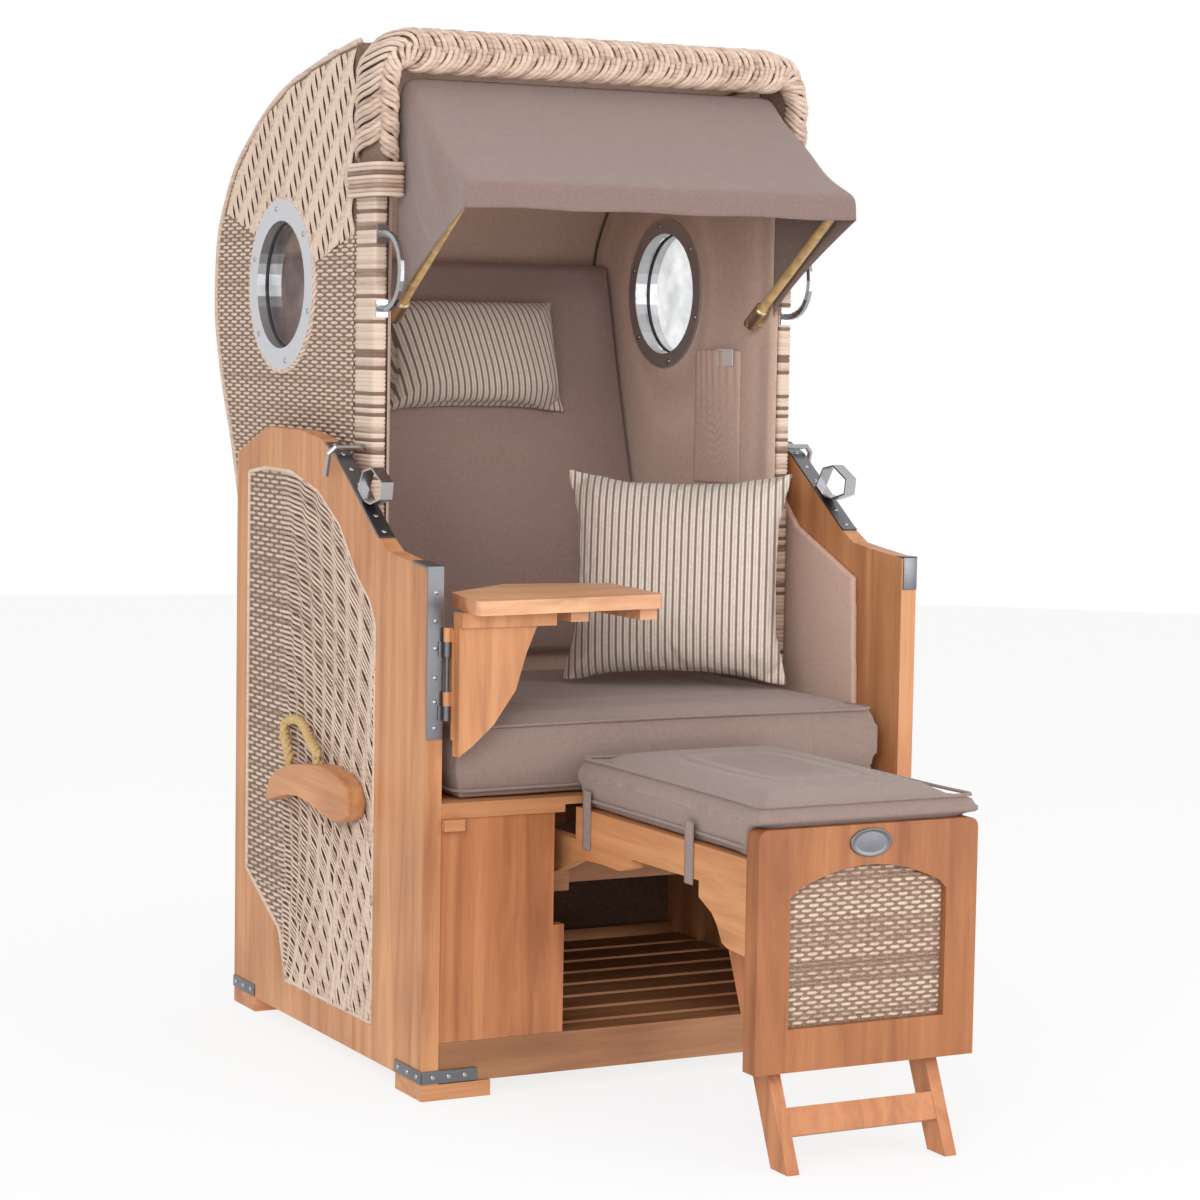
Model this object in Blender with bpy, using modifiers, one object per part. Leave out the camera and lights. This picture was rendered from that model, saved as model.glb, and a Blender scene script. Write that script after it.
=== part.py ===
"""Hooded beach chair for one person, built at its real size.

A teak base with woven sides carries a seat, a hood that tilts back on an axle, an awning on two
swinging arms, a side tray on a strap hinge and a footrest that slides out on its own folding leg.
X runs to the viewer's right, Y to the back and Z up, in metres. Every outline below is drawn with
Y = 0 on the front plane of the base; the root empty then moves the chair so that its origin lies on
the floor under the middle of its box.
"""

import math

import bmesh
import bpy
from mathutils import Matrix, Vector

# Clearances and overlaps used everywhere
GAP = 0.0003
OVERLAP = 0.0006
OVERRUN = 0.006
WELD = 0.00001

# Base walls
BASE_WIDTH = 0.880
WALL_THICK = 0.028
WALL_DEPTH = 0.804
ARM_HEIGHT = 0.8215
WALL_HEIGHT = 1.014
WICKER_THICK = 0.016
WICKER_INSET = 0.003
WALL_LINING_THICK = 0.0117
WALL_TOP_SHARES = (
    (0.0, 0.0), (0.128, 0.055), (0.187, 0.085), (0.2425, 0.200), (0.454, 0.808),
    (0.536, 0.945), (0.644, 1.0), (0.830, 1.0), (1.0, 0.750),
)
# Woven opening, as shares of the wall's depth and of its height at that depth
WALL_OPENING_SHARES = (
    (0.940, 0.228), (0.939, 0.952), (0.840, 0.935), (0.698, 0.931), (0.545, 0.912),
    (0.427, 0.899), (0.338, 0.864), (0.271, 0.859), (0.241, 0.832), (0.245, 0.066),
    (0.703, 0.056), (0.715, 0.082), (0.745, 0.139), (0.838, 0.178),
)
# Cloth-covered lining, as shares of the wall's depth and of the height from seat to wall top
WALL_LINING_SHARES = (
    (0.155, 0.0), (0.155, 0.203), (0.167, 0.578), (0.240, 0.621), (0.400, 0.715),
    (0.522, 0.880), (0.640, 0.929), (0.860, 0.929), (0.963, 0.893), (0.963, 0.0),
)

# Feet and front of the base
FOOT_HEIGHT = 0.025
FOOT_WIDTH = 0.117
FOOT_LENGTH = 0.100
FRONT_INSET = 0.004
FRONT_THICK = 0.022
BOTTOM_RAIL_HEIGHT = 0.063
OPENING_HALF_TOP = 0.216
OPENING_HALF_LOW = 0.197
OPENING_STEP_HEIGHT = 0.259
BACK_THICK = 0.028

# Floor and seat deck
FLOOR_TOP = 0.072
FLOOR_SLAT_WIDTH = 0.070
FLOOR_SLAT_SPACE = 0.022
DECK_SLAT_WIDTH = 0.080
DECK_SLAT_SPACE = 0.034
SLAT_THICK = 0.012
BATTEN_SIZE = 0.022
SEAT_TOP = 0.461
SEAT_RAIL_HEIGHT = 0.024
SEAT_RAIL_DEPTH = 0.060
SEAT_NOTCH_HALF = 0.200

# Seat cushion
SEAT_PAD_SIDE_SPACE = 0.014
SEAT_PAD_FRONT = 0.010
SEAT_PAD_BACK_SPACE = 0.096
SEAT_PAD_HEIGHT = 0.120
SEAT_PAD_CROWN = 0.006
SEAT_PAD_EDGE = 0.012
PAD_DRAW_SHARE = 0.012

# Footrest
REST_HALF = 0.184
REST_REACH = 0.5704
REST_TOP = 0.490
REST_BOTTOM = 0.141
REST_PANEL_THICK = 0.034
REST_CORNER = 0.014
REST_STILE_WIDTH = 0.053
REST_SILL_HEIGHT = 0.062
REST_ARCH_TOP = 0.432
REST_ARCH_SIDE = 0.402
REST_ARCH_LOW = 0.390
REST_WICKER_THICK = 0.014
REST_RAIL_THICK = 0.020
REST_RAIL_TOP = 0.4449
REST_RAIL_DROP = 0.139
REST_TAIL_END = 0.250
REST_SLAT_WIDTH = 0.045
REST_SLAT_SPACE = 0.028
REST_SLAT_DROP = 0.0005
REST_BATTEN_WIDTH = 0.018
REST_BATTEN_HEIGHT = 0.016
REST_DECK_FRONT_SPACE = 0.012
# Side board of the footrest, as shares of its length from the panel and of its depth from its top
REST_RAIL_SHARES = (
    (0.0, 0.0), (0.674, 0.0), (0.674, 0.366), (1.0, 0.366), (1.0, 0.812), (0.763, 0.812),
    (0.728, 0.740), (0.654, 0.575), (0.5675, 0.553), (0.486, 0.560), (0.435, 0.481),
    (0.440, 0.388), (0.173, 0.373), (0.173, 0.546), (0.1235, 0.668), (0.104, 0.769),
    (0.084, 0.942), (0.065, 0.978), (0.0, 1.0),
)
REST_PAD_HALF = 0.188
REST_PAD_HEIGHT = 0.079
REST_PAD_CROWN = 0.012
REST_PAD_EDGE = 0.010
REST_PAD_BACK_SPACE = 0.004
REST_PAD_LIP = 0.036
REST_PAD_LIP_CLEAR = 0.0015

# Fixed runners inside the base
RUNNER_TOP_DROP = 0.0003
RUNNER_HEIGHT = 0.032
RUNNER_HALF_IN = 0.158
RUNNER_HALF_OUT = 0.194
RUNNER_FRONT = 0.066
TIE_FRONT = 0.132
TIE_BACK_SPACE = 0.076
TIE_WIDTH = 0.040

# Folding leg
LEG_PANEL_SPACE = 0.0025
LEG_LEAN = math.radians(24.3)
LEG_WIDTH = 0.043
LEG_BOARD_THICK = 0.020
LEG_HALF = 0.1427
LEG_PIVOT_HEIGHT = 0.408
LEG_AXLE_RADIUS = 0.005
LEG_BAR_HEIGHT = 0.040
LEG_BAR_THICK = 0.018
LEG_BAR_RISE = 0.0665

# Hood
HOOD_SIDE_SPACE = 0.009
HOOD_SIDE_THICK = 0.026
HOOD_FRONT_SHARE = 0.4117
HOOD_DEPTH = 0.711
HOOD_ROOF = 1.643
HOOD_LOW = 0.575
HOOD_SHELL_THICK = 0.018
HOOD_LINING_THICK = 0.009
HOOD_LINING_INSET = 0.002
HOOD_LINING_LOW = 0.602
POST_DEPTH = 0.080
POST_LOW = 0.620
HOOD_PIVOT_SHARE = 0.908
SIDE_LOW_AHEAD = 0.070
HOOD_PIVOT_Z = 0.530
LUG_RADIUS = 0.045
HOOD_AXLE_RADIUS = 0.006
# Outer line of roof and back, as shares of the hood's depth and of the height from low end to roof
HOOD_PROFILE_SHARES = (
    (0.113, 1.0), (0.150, 0.997), (0.340, 0.978), (0.529, 0.950), (0.664, 0.915), (0.771, 0.875),
    (0.862, 0.834), (0.934, 0.778), (0.983, 0.721), (1.0, 0.645), (0.997, 0.578), (0.968, 0.509),
    (0.927, 0.443), (0.882, 0.380), (0.758, 0.164), (0.653, 0.0),
)

# Braided roll over the hood's front edge
BRAID_BESIDE_HOOD = 0.013
BRAID_ABOVE_ROOF = 0.022
BRAID_DROP = 0.080
BRAID_LEG_LENGTH = 0.235
BRAID_LEG_WIDTH = 0.048
BRAID_OVERHANG = 0.041
BRAID_ROUND = 0.020
BRAID_CORNER = 0.030

# Portholes
PORT_BEHIND_FRONT = 0.3897
PORT_BELOW_ROOF = 0.3876
PORT_FLANGE_RADIUS = 0.1459
PORT_INNER_FLANGE_RADIUS = 0.135
PORT_TUBE_RADIUS = 0.1165
PORT_BORE_RADIUS = 0.109
PORT_FLANGE_THICK = 0.0052
PORT_PANE_THICK = 0.004
PORT_PANE_DEPTH = 0.018

# Back cushion and pillows
BACK_PAD_BELOW_ROOF = 0.333
BACK_PAD_LOW_BEHIND_FRONT = 0.3783
BACK_PAD_TOP_BEHIND_FRONT = 0.599
BACK_PAD_CROWN = 0.012
BACK_PAD_EDGE = 0.010
NECK_WIDTH = 0.370
NECK_HEIGHT = 0.225
NECK_THICK = 0.080
NECK_FRONT_SHARE = 0.82
NECK_CENTRE_X = 0.020
NECK_BELOW_ROOF = 0.508
PILLOW_WIDTH = 0.392
PILLOW_HEIGHT = 0.372
PILLOW_THICK = 0.135
PILLOW_FROM_LINING = 0.234
PILLOW_Y = 0.317
PILLOW_TURN = math.radians(-32.5)
PILLOW_LEAN = math.radians(9.5)
PILLOW_SEAM = 0.010
PILLOW_DRAW_SHARE = 0.055

# Grab bows on the hood posts
BOW_INSET = 0.014
BOW_LOW_BELOW_ROOF = 0.434
BOW_HIGH_BELOW_ROOF = 0.303
BOW_REACH = 0.084
BOW_RADIUS = 0.006
BOW_TAB_WIDTH = 0.020
BOW_TAB_HEIGHT = 0.028
BOW_TAB_THICK = 0.003

# Awning
AWNING_PIVOT_BEHIND_FRONT = 0.044
AWNING_PIVOT_BELOW_ROOF = 0.440
AWNING_ARM_INSET = 0.056
AWNING_ARM_LENGTH = 0.350
AWNING_RISE = math.radians(34.3)
AWNING_ROD_RADIUS = 0.008
FERRULE_RADIUS = 0.011
FERRULE_LENGTH = 0.035
FERRULE_START = 0.012
BOSS_RADIUS = 0.0075
AWNING_BAR_RADIUS = 0.009
AWNING_BAR_INSET = 0.048
CLOTH_INSET = 0.041
CLOTH_THICK = 0.0016
CLOTH_BEAM_OVERHANG = 0.003
CLOTH_REAR_BELOW_ROOF = 0.428
CLOTH_FRONT_DROP = 0.040
CLOTH_HEM_SPACE = 0.004
CLOTH_HEM_DROP = 0.034
CLOTH_HEM_CHEEK_DROP = 0.026
CLOTH_SAG = 0.010
CLOTH_CHEEK_BULGE = 0.009
CLOTH_ROOF_COLUMNS = 8
CLOTH_CHEEK_COLUMNS = 3
CLOTH_ROWS = 6

# Tray and its strap hinge
TRAY_PIN_INSET = 0.030
TRAY_PIN_REACH = 0.010
TRAY_BELOW_ARM = 0.0435
TRAY_THICK = 0.022
TRAY_WIDTH = 0.372
TRAY_DEPTH = 0.296
TRAY_FRONT = 0.085
TRAY_SHARES = (
    (0.030, 0.0), (0.946, 0.155), (1.0, 0.915), (0.527, 1.0), (0.124, 0.580),
)
TRAY_ROUND = 0.012
TRAY_BATTEN_WIDTH = 0.030
TRAY_BATTEN_HEIGHT = 0.018
TRAY_BATTEN_FRONT = 0.030
TRAY_BATTEN_BACK = 0.150
TRAY_BATTEN_NEAR = 0.195
TRAY_BATTEN_FAR = 0.315
GUSSET_THICK = 0.022
GUSSET_FACE = 0.003
GUSSET_EDGE = 0.009
GUSSET_BELOW_ARM = 0.2855
GUSSET_WIDTH = 0.131
GUSSET_SHARES = ((0.0, 0.0), (0.0, 1.0), (1.0, 1.0), (0.86, 0.78), (0.73, 0.50), (0.45, 0.24), (0.18, 0.08))
TRAY_RAIL_HEIGHT = 0.0217
TRAY_RAIL_WIDTH = 0.032
TRAY_RAIL_LENGTH = 0.159
STRAP_WIDTH = 0.026
STRAP_THICK = 0.003
STRAP_LENGTH = 0.2605
STRAP_LAP = 0.055
LEAF_LENGTH = 0.026
LEAF_LOW_BELOW_ARM = 0.2615
LEAF_HIGH_BELOW_ARM = 0.0935
PIN_RADIUS = 0.003
KNUCKLE_RADIUS = 0.006
KNUCKLE_HEIGHT = 0.022
KNUCKLE_LOW_BELOW_ARM = 0.2315
KNUCKLE_HIGH_BELOW_ARM = 0.1335
TONGUE_LENGTH = 0.012
TONGUE_THICK = 0.0026

# Hood catch on the walls, and the lock rods on the hood
RACK_WIDTH = 0.027
RACK_THICK = 0.003
RACK_AHEAD_OF_LEVER = 0.099
RACK_BEHIND_LEVER = 0.125
LEVER_WIDTH = 0.020
LEVER_BAND = 0.003
LEVER_LENGTH = 0.100
LEVER_HEIGHT = 0.060
LEVER_AHEAD_OF_ROD = 0.075
# Ring of the lever, as shares of its length ahead of its pivot and of its height above the strip
LEVER_SHARES = (
    (0.0, 0.0), (-0.23, 0.804), (-0.57, 1.294), (-1.0, 1.394), (-0.95, 0.899), (-0.53, 0.265),
    (-0.23, 0.004),
)
ROD_RADIUS = 0.0045
ROD_BEHIND_FRONT = 0.029
ROD_ABOVE_WALL = 0.0174
ROD_OUT = 0.061
ROD_BEND = 0.010
ROD_DROP = 0.046
ROD_SLANT = 0.016

# Carrying handles
GRIP_LENGTH = 0.360
GRIP_HEIGHT = 0.092
GRIP_THICK = 0.034
GRIP_SPACE = 0.003
GRIP_FRONT = 0.215
GRIP_BOTTOM = 0.388
GRIP_ROUND = 0.006
GRIP_SHARES = (
    (1.0, 0.0), (0.944, 0.457), (0.847, 0.674), (0.708, 0.826), (0.514, 0.935), (0.319, 1.0),
    (0.153, 0.935), (0.042, 0.761), (0.0, 0.511), (0.022, 0.261), (0.097, 0.120), (0.189, 0.087),
    (0.314, 0.163), (0.45, 0.25), (0.6, 0.304), (0.719, 0.272), (0.864, 0.152),
)
ROPE_RADIUS = 0.009
ROPE_HOLE_CLEAR = 0.0012
# Route of the rope loop: distance out from the woven face, depth and height of each point
ROPE_POINTS = (
    (0.0235, 0.500, 0.418), (0.0235, 0.500, 0.440), (0.0235, 0.500, 0.462), (0.0228, 0.513, 0.487),
    (0.0175, 0.540, 0.508), (0.0120, 0.545, 0.524), (0.0094, 0.520, 0.532), (0.0094, 0.492, 0.532),
    (0.0120, 0.461, 0.524), (0.0180, 0.424, 0.508), (0.0230, 0.385, 0.494), (0.0235, 0.378, 0.476),
    (0.0235, 0.378, 0.450), (0.0235, 0.378, 0.422),
)

# Derived places
HALF_WIDTH = BASE_WIDTH / 2
WALL_INNER = HALF_WIDTH - WALL_THICK
BETWEEN_WALLS = WALL_INNER - GAP
LINING_FACE = BETWEEN_WALLS - WALL_LINING_THICK
BACK_FRONT = WALL_DEPTH - BACK_THICK
SEAT_PAD_HALF = LINING_FACE - SEAT_PAD_SIDE_SPACE
SEAT_PAD_BACK = BACK_FRONT - SEAT_PAD_BACK_SPACE
PILLOW_X = LINING_FACE - PILLOW_FROM_LINING
TIE_BACK = BACK_FRONT - TIE_BACK_SPACE
HOOD_HALF = LINING_FACE - HOOD_SIDE_SPACE
HOOD_FRONT = WALL_DEPTH * HOOD_FRONT_SHARE
HOOD_BACK = HOOD_FRONT + HOOD_DEPTH
HOOD_PIVOT_Y = WALL_DEPTH * HOOD_PIVOT_SHARE
SIDE_BACK_LOW_Y = HOOD_PIVOT_Y - SIDE_LOW_AHEAD
POST_BACK = HOOD_FRONT + POST_DEPTH
HOOD_INNER = HOOD_HALF - HOOD_SIDE_THICK
HOOD_LINING_OUT = HOOD_INNER - GAP
HOOD_LINING_IN = HOOD_LINING_OUT - HOOD_LINING_THICK
BRAID_HALF = HOOD_HALF + BRAID_BESIDE_HOOD
BRAID_LEG_HALF_IN = BRAID_HALF - BRAID_LEG_WIDTH
BRAID_TOP = HOOD_ROOF + BRAID_ABOVE_ROOF
BRAID_LOW = BRAID_TOP - BRAID_LEG_LENGTH
BRAID_FRONT = HOOD_FRONT - BRAID_OVERHANG
BEAM_UNDER = BRAID_TOP - BRAID_DROP
PORT_Y = HOOD_FRONT + PORT_BEHIND_FRONT
PORT_Z = HOOD_ROOF - PORT_BELOW_ROOF
BACK_PAD_LOW = HOOD_LINING_LOW
BACK_PAD_TOP = HOOD_ROOF - BACK_PAD_BELOW_ROOF
BACK_PAD_LOW_Y = HOOD_FRONT + BACK_PAD_LOW_BEHIND_FRONT
BACK_PAD_TOP_Y = HOOD_FRONT + BACK_PAD_TOP_BEHIND_FRONT
NECK_CENTRE_Z = HOOD_ROOF - NECK_BELOW_ROOF
BOW_X = HOOD_HALF - BOW_INSET
BOW_LOW = HOOD_ROOF - BOW_LOW_BELOW_ROOF
BOW_HIGH = HOOD_ROOF - BOW_HIGH_BELOW_ROOF
AWNING_ARM_X = HOOD_HALF - AWNING_ARM_INSET
AWNING_BAR_HALF = HOOD_HALF - AWNING_BAR_INSET
CLOTH_HALF = HOOD_HALF - CLOTH_INSET
AWNING_PIVOT_Y = HOOD_FRONT + AWNING_PIVOT_BEHIND_FRONT
AWNING_PIVOT_Z = HOOD_ROOF - AWNING_PIVOT_BELOW_ROOF
CLOTH_BEAM_Y = HOOD_FRONT - CLOTH_BEAM_OVERHANG
CLOTH_REAR_LOW = HOOD_ROOF - CLOTH_REAR_BELOW_ROOF
TRAY_PIN_X = HALF_WIDTH - TRAY_PIN_INSET
TRAY_TOP = ARM_HEIGHT - TRAY_BELOW_ARM
GUSSET_LOW = ARM_HEIGHT - GUSSET_BELOW_ARM
STRAP_LOW = ARM_HEIGHT - STRAP_LENGTH
LEAF_LOW = ARM_HEIGHT - LEAF_LOW_BELOW_ARM
LEAF_HIGH = ARM_HEIGHT - LEAF_HIGH_BELOW_ARM
KNUCKLE_LOW_Z = ARM_HEIGHT - KNUCKLE_LOW_BELOW_ARM
KNUCKLE_HIGH_Z = ARM_HEIGHT - KNUCKLE_HIGH_BELOW_ARM
ROD_Y = HOOD_FRONT + ROD_BEHIND_FRONT
LEVER_BACK = ROD_Y - LEVER_AHEAD_OF_ROD
RACK_START = LEVER_BACK - RACK_AHEAD_OF_LEVER
RACK_END = LEVER_BACK + RACK_BEHIND_LEVER
REST_PANEL_BACK = -REST_REACH + REST_PANEL_THICK
REST_RAIL_FRONT = REST_PANEL_BACK + GAP
REST_RAIL_INNER = REST_HALF - REST_RAIL_THICK
LEG_FOOT_HALF = LEG_WIDTH / (2 * math.cos(LEG_LEAN))
LEG_UNDER_PANEL = REST_PANEL_BACK + LEG_PANEL_SPACE + LEG_FOOT_HALF
LEG_FOOT_REACH = REST_BOTTOM * math.tan(LEG_LEAN) - LEG_UNDER_PANEL
LEG_PIVOT_Y = -LEG_FOOT_REACH + LEG_PIVOT_HEIGHT * math.tan(LEG_LEAN)
LEG_FOOT_FRONT = -LEG_FOOT_REACH - LEG_FOOT_HALF
ORIGIN_Y = (HOOD_BACK + min(LEG_FOOT_FRONT, -REST_REACH)) / 2
SIDES = (("left", -1), ("right", 1))

TEAK = ("teak", (0.58, 0.30, 0.13), 0.55, 0.0)
TEAK_DARK = ("teak_inside", (0.40, 0.19, 0.08), 0.65, 0.0)
RATTAN = ("woven_strand", (0.55, 0.40, 0.29), 0.60, 0.0)
PAD_CLOTH = ("cushion_cloth", (0.26, 0.20, 0.165), 0.95, 0.0)
LINING_CLOTH = ("lining_cloth", (0.40, 0.28, 0.22), 0.95, 0.0)
AWNING_CLOTH = ("awning_cloth", (0.36, 0.26, 0.21), 0.92, 0.0)
STRIPED_CLOTH = ("striped_cloth", (0.50, 0.42, 0.36), 0.95, 0.0)
STEEL = ("polished_steel", (0.60, 0.60, 0.61), 0.22, 1.0)
POLISHED_WOOD = ("pale_turned_wood", (0.60, 0.38, 0.15), 0.45, 0.0)
FLANGE = ("porthole_flange", (0.50, 0.50, 0.52), 0.30, 1.0)
PANE = ("clear_pane", (0.75, 0.80, 0.82), 0.10, 0.0)
ROPE = ("straw_rope", (0.55, 0.38, 0.18), 0.85, 0.0)


def new_collection(name):
    """Return an empty collection of that name under the scene's own."""
    group = bpy.data.collections.new(name)
    bpy.context.scene.collection.children.link(group)
    return group


def material_of(entry):
    """Return the material of one table entry, made once."""
    name, colour, roughness, metallic = entry
    found = bpy.data.materials.get(name)
    if found:
        return found
    made = bpy.data.materials.new(name)
    made.use_nodes = True
    shader = made.node_tree.nodes["Principled BSDF"]
    shader.inputs["Base Color"].default_value = (*colour, 1)
    shader.inputs["Roughness"].default_value = roughness
    shader.inputs["Metallic"].default_value = metallic
    made.diffuse_color = (*colour, 1)
    return made


def clean_mesh(mesh):
    """Weld loose caps and turn all faces outwards."""
    work = bmesh.new()
    work.from_mesh(mesh)
    bmesh.ops.remove_doubles(work, verts=work.verts, dist=WELD)
    bmesh.ops.recalc_face_normals(work, faces=work.faces)
    work.to_mesh(mesh)
    work.free()
    return mesh


def baked(scratch):
    """Evaluate a scratch object, remove it and return its mesh."""
    bpy.context.scene.collection.objects.link(scratch)
    graph = bpy.context.evaluated_depsgraph_get()
    mesh = bpy.data.meshes.new_from_object(scratch.evaluated_get(graph))
    bpy.data.objects.remove(scratch)
    return clean_mesh(mesh)


def modified(mesh, *settings):
    """Return the mesh after a list of modifiers, each a type and its settings."""
    scratch = bpy.data.objects.new("scratch", mesh)
    for kind, values in settings:
        modifier = scratch.modifiers.new(kind.title(), kind)
        for key, value in values.items():
            setattr(modifier, key, value)
    return baked(scratch)


def board(outlines, plane, near, far):
    """A flat board: outlines in one plane, filled between near and far along the third axis."""
    curve = bpy.data.curves.new("outline", "CURVE")
    curve.dimensions = "2D"
    curve.fill_mode = "BOTH"
    curve.extrude = abs(far - near) / 2
    for outline in outlines:
        spline = curve.splines.new("POLY")
        spline.points.add(len(outline) - 1)
        spline.use_cyclic_u = True
        for point, (u, v) in zip(spline.points, outline):
            point.co = (u, v, 0, 1)
    mesh = baked(bpy.data.objects.new("outline", curve))
    middle = (near + far) / 2
    turn, shift = {
        "yz": (((0, 0, 1), (1, 0, 0), (0, 1, 0)), (middle, 0, 0)),
        "xz": (((1, 0, 0), (0, 0, -1), (0, 1, 0)), (0, middle, 0)),
        "xy": (((1, 0, 0), (0, 1, 0), (0, 0, 1)), (0, 0, middle)),
    }[plane]
    mesh.transform(Matrix.Translation(shift) @ Matrix(turn).to_4x4())
    return mesh


def box(low, high):
    """A box between two corners."""
    work = bmesh.new()
    bmesh.ops.create_cube(work, size=1)
    size = [abs(b - a) for a, b in zip(low, high)]
    middle = [(a + b) / 2 for a, b in zip(low, high)]
    bmesh.ops.scale(work, vec=size, verts=work.verts)
    bmesh.ops.translate(work, vec=middle, verts=work.verts)
    mesh = bpy.data.meshes.new("box")
    work.to_mesh(mesh)
    work.free()
    return mesh


def rod(start, end, radius, sides=20):
    """A straight round rod between two points."""
    start, end = Vector(start), Vector(end)
    along = end - start
    work = bmesh.new()
    bmesh.ops.create_cone(
        work, cap_ends=True, segments=sides, radius1=radius, radius2=radius, depth=along.length
    )
    turn = along.to_track_quat("Z", "Y").to_matrix().to_4x4()
    bmesh.ops.transform(work, matrix=Matrix.Translation((start + end) / 2) @ turn, verts=work.verts)
    mesh = bpy.data.meshes.new("rod")
    work.to_mesh(mesh)
    work.free()
    return mesh


def tube(points, radius, resolution=2):
    """A bent round tube along points, with filled ends."""
    curve = bpy.data.curves.new("tube", "CURVE")
    curve.dimensions = "3D"
    curve.bevel_depth = radius
    curve.bevel_resolution = resolution
    curve.use_fill_caps = True
    spline = curve.splines.new("POLY")
    spline.points.add(len(points) - 1)
    for point, place in zip(spline.points, points):
        point.co = (*place, 1)
    return baked(bpy.data.objects.new("tube", curve))


def combined(first, others, operation="UNION"):
    """Join the first mesh with the others, or cut them out of it."""
    scratch = bpy.data.objects.new("first", first)
    extra = []
    for mesh in others:
        helper = bpy.data.objects.new("helper", mesh)
        bpy.data.collections["cutters"].objects.link(helper)
        helper.hide_render = True
        helper.display_type = "WIRE"
        modifier = scratch.modifiers.new("Combine", "BOOLEAN")
        modifier.operation = operation
        modifier.solver = "EXACT"
        modifier.object = helper
        extra.append(helper)
    mesh = baked(scratch)
    for helper in extra:
        bpy.data.objects.remove(helper)
    return mesh


def block(columns, rows, layers):
    """A cube from -1 to 1 whose faces are cut into a grid."""
    work = bmesh.new()
    bmesh.ops.create_cube(work, size=1)
    bmesh.ops.scale(work, vec=(2, 2, 2), verts=work.verts)
    for axis, count in enumerate((columns, rows, layers)):
        normal = Vector([1 if k == axis else 0 for k in range(3)])
        for step in range(1, count):
            bmesh.ops.bisect_plane(
                work,
                geom=work.verts[:] + work.edges[:] + work.faces[:],
                plane_co=normal * (2 * step / count - 1),
                plane_no=normal,
            )
    return work


def shaped(work, rule):
    """Move each vertex of a unit block by a rule and return the mesh."""
    for vert in work.verts:
        vert.co = rule(*vert.co)
    mesh = bpy.data.meshes.new("shaped")
    work.to_mesh(mesh)
    work.free()
    return clean_mesh(mesh)


def swell(u, v, power=6):
    """Share of the crown at a place on a cushion: whole in the middle, none at the rim."""
    return (1 - abs(u) ** power) * (1 - abs(v) ** power)


def smooth_line(points, steps):
    """A rounded line through the points, with some steps between each two."""
    ends = [points[0], *points, points[-1]]
    line = []
    for i in range(1, len(ends) - 2):
        a, b, c, d = (Vector(p) for p in ends[i - 1:i + 3])
        for k in range(steps):
            t = k / steps
            line.append(
                ((b * 2) + (c - a) * t + (a * 2 - b * 5 + c * 4 - d) * t ** 2
                 + (b * 3 - a - c * 3 + d) * t ** 3) / 2
            )
    line.append(Vector(points[-1]))
    return line


def offset_line(points, distance):
    """An open line moved to its right by a distance, mitred at its corners."""
    moved = []
    for i, point in enumerate(points):
        here = Vector(point)
        before = (here - Vector(points[i - 1])).normalized() if i else None
        after = (Vector(points[i + 1]) - here).normalized() if i < len(points) - 1 else None
        before = before or after
        after = after or before
        first = Vector((before.y, -before.x))
        second = Vector((after.y, -after.x))
        lean = (first + second).normalized()
        moved.append(tuple(here + lean * distance / max(lean.dot(first), 0.2)))
    return moved


def inset(outline, distance):
    """A closed outline drawn in by a distance."""
    count = len(outline)
    area = sum(
        outline[i][0] * outline[(i + 1) % count][1] - outline[(i + 1) % count][0] * outline[i][1]
        for i in range(count)
    )
    way = -1 if area > 0 else 1
    moved = []
    for i in range(count):
        here = Vector(outline[i])
        before = (here - Vector(outline[i - 1])).normalized()
        after = (Vector(outline[(i + 1) % count]) - here).normalized()
        first = Vector((before.y, -before.x)) * way
        second = Vector((after.y, -after.x)) * way
        lean = (first + second).normalized()
        moved.append(tuple(here + lean * distance / max(lean.dot(first), 0.2)))
    return moved


def circle(middle, radius, count=40, start=0.0, sweep=math.tau, closed=True):
    """Points on a circle or an arc."""
    steps = count if closed else count - 1
    return [
        (
            middle[0] + radius * math.cos(start + sweep * k / steps),
            middle[1] + radius * math.sin(start + sweep * k / steps),
        )
        for k in range(count)
    ]


def rounded(outline, radius, which=None, steps=4):
    """An outline with chosen corners cut round."""
    result = []
    count = len(outline)
    for i in range(count):
        here = Vector(outline[i])
        if which is not None and i not in which:
            result.append(tuple(here))
            continue
        back = (Vector(outline[i - 1]) - here).normalized()
        ahead = (Vector(outline[(i + 1) % count]) - here).normalized()
        half = back.angle(ahead) / 2
        reach = radius / math.tan(half)
        middle = here + (back + ahead).normalized() * radius / math.sin(half)
        start = here + back * reach - middle
        end = here + ahead * reach - middle
        turn = start.angle_signed(end)
        for k in range(steps + 1):
            angle = -turn * k / steps
            spin = Matrix.Rotation(angle, 2)
            result.append(tuple(middle + spin @ start))
    return result


def height_at(line, y):
    """Height of an open line of (depth, height) points at one depth."""
    for (y0, z0), (y1, z1) in zip(line, line[1:]):
        if min(y0, y1) <= y <= max(y0, y1) and y0 != y1:
            return z0 + (z1 - z0) * (y - y0) / (y1 - y0)
    return line[-1][1]


def depth_at(line, z):
    """Depth of the rear part of an open line at one height, read from its low end up."""
    for (y0, z0), (y1, z1) in zip(line[::-1], line[-2::-1]):
        if z0 <= z <= z1:
            return y0 + (y1 - y0) * (z - z0) / (z1 - z0)
    return line[0][0]


def wall_top_line():
    """The wall's top edge from front to back."""
    rise = WALL_HEIGHT - ARM_HEIGHT
    return [(s * WALL_DEPTH, ARM_HEIGHT + t * rise) for s, t in WALL_TOP_SHARES]


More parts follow.
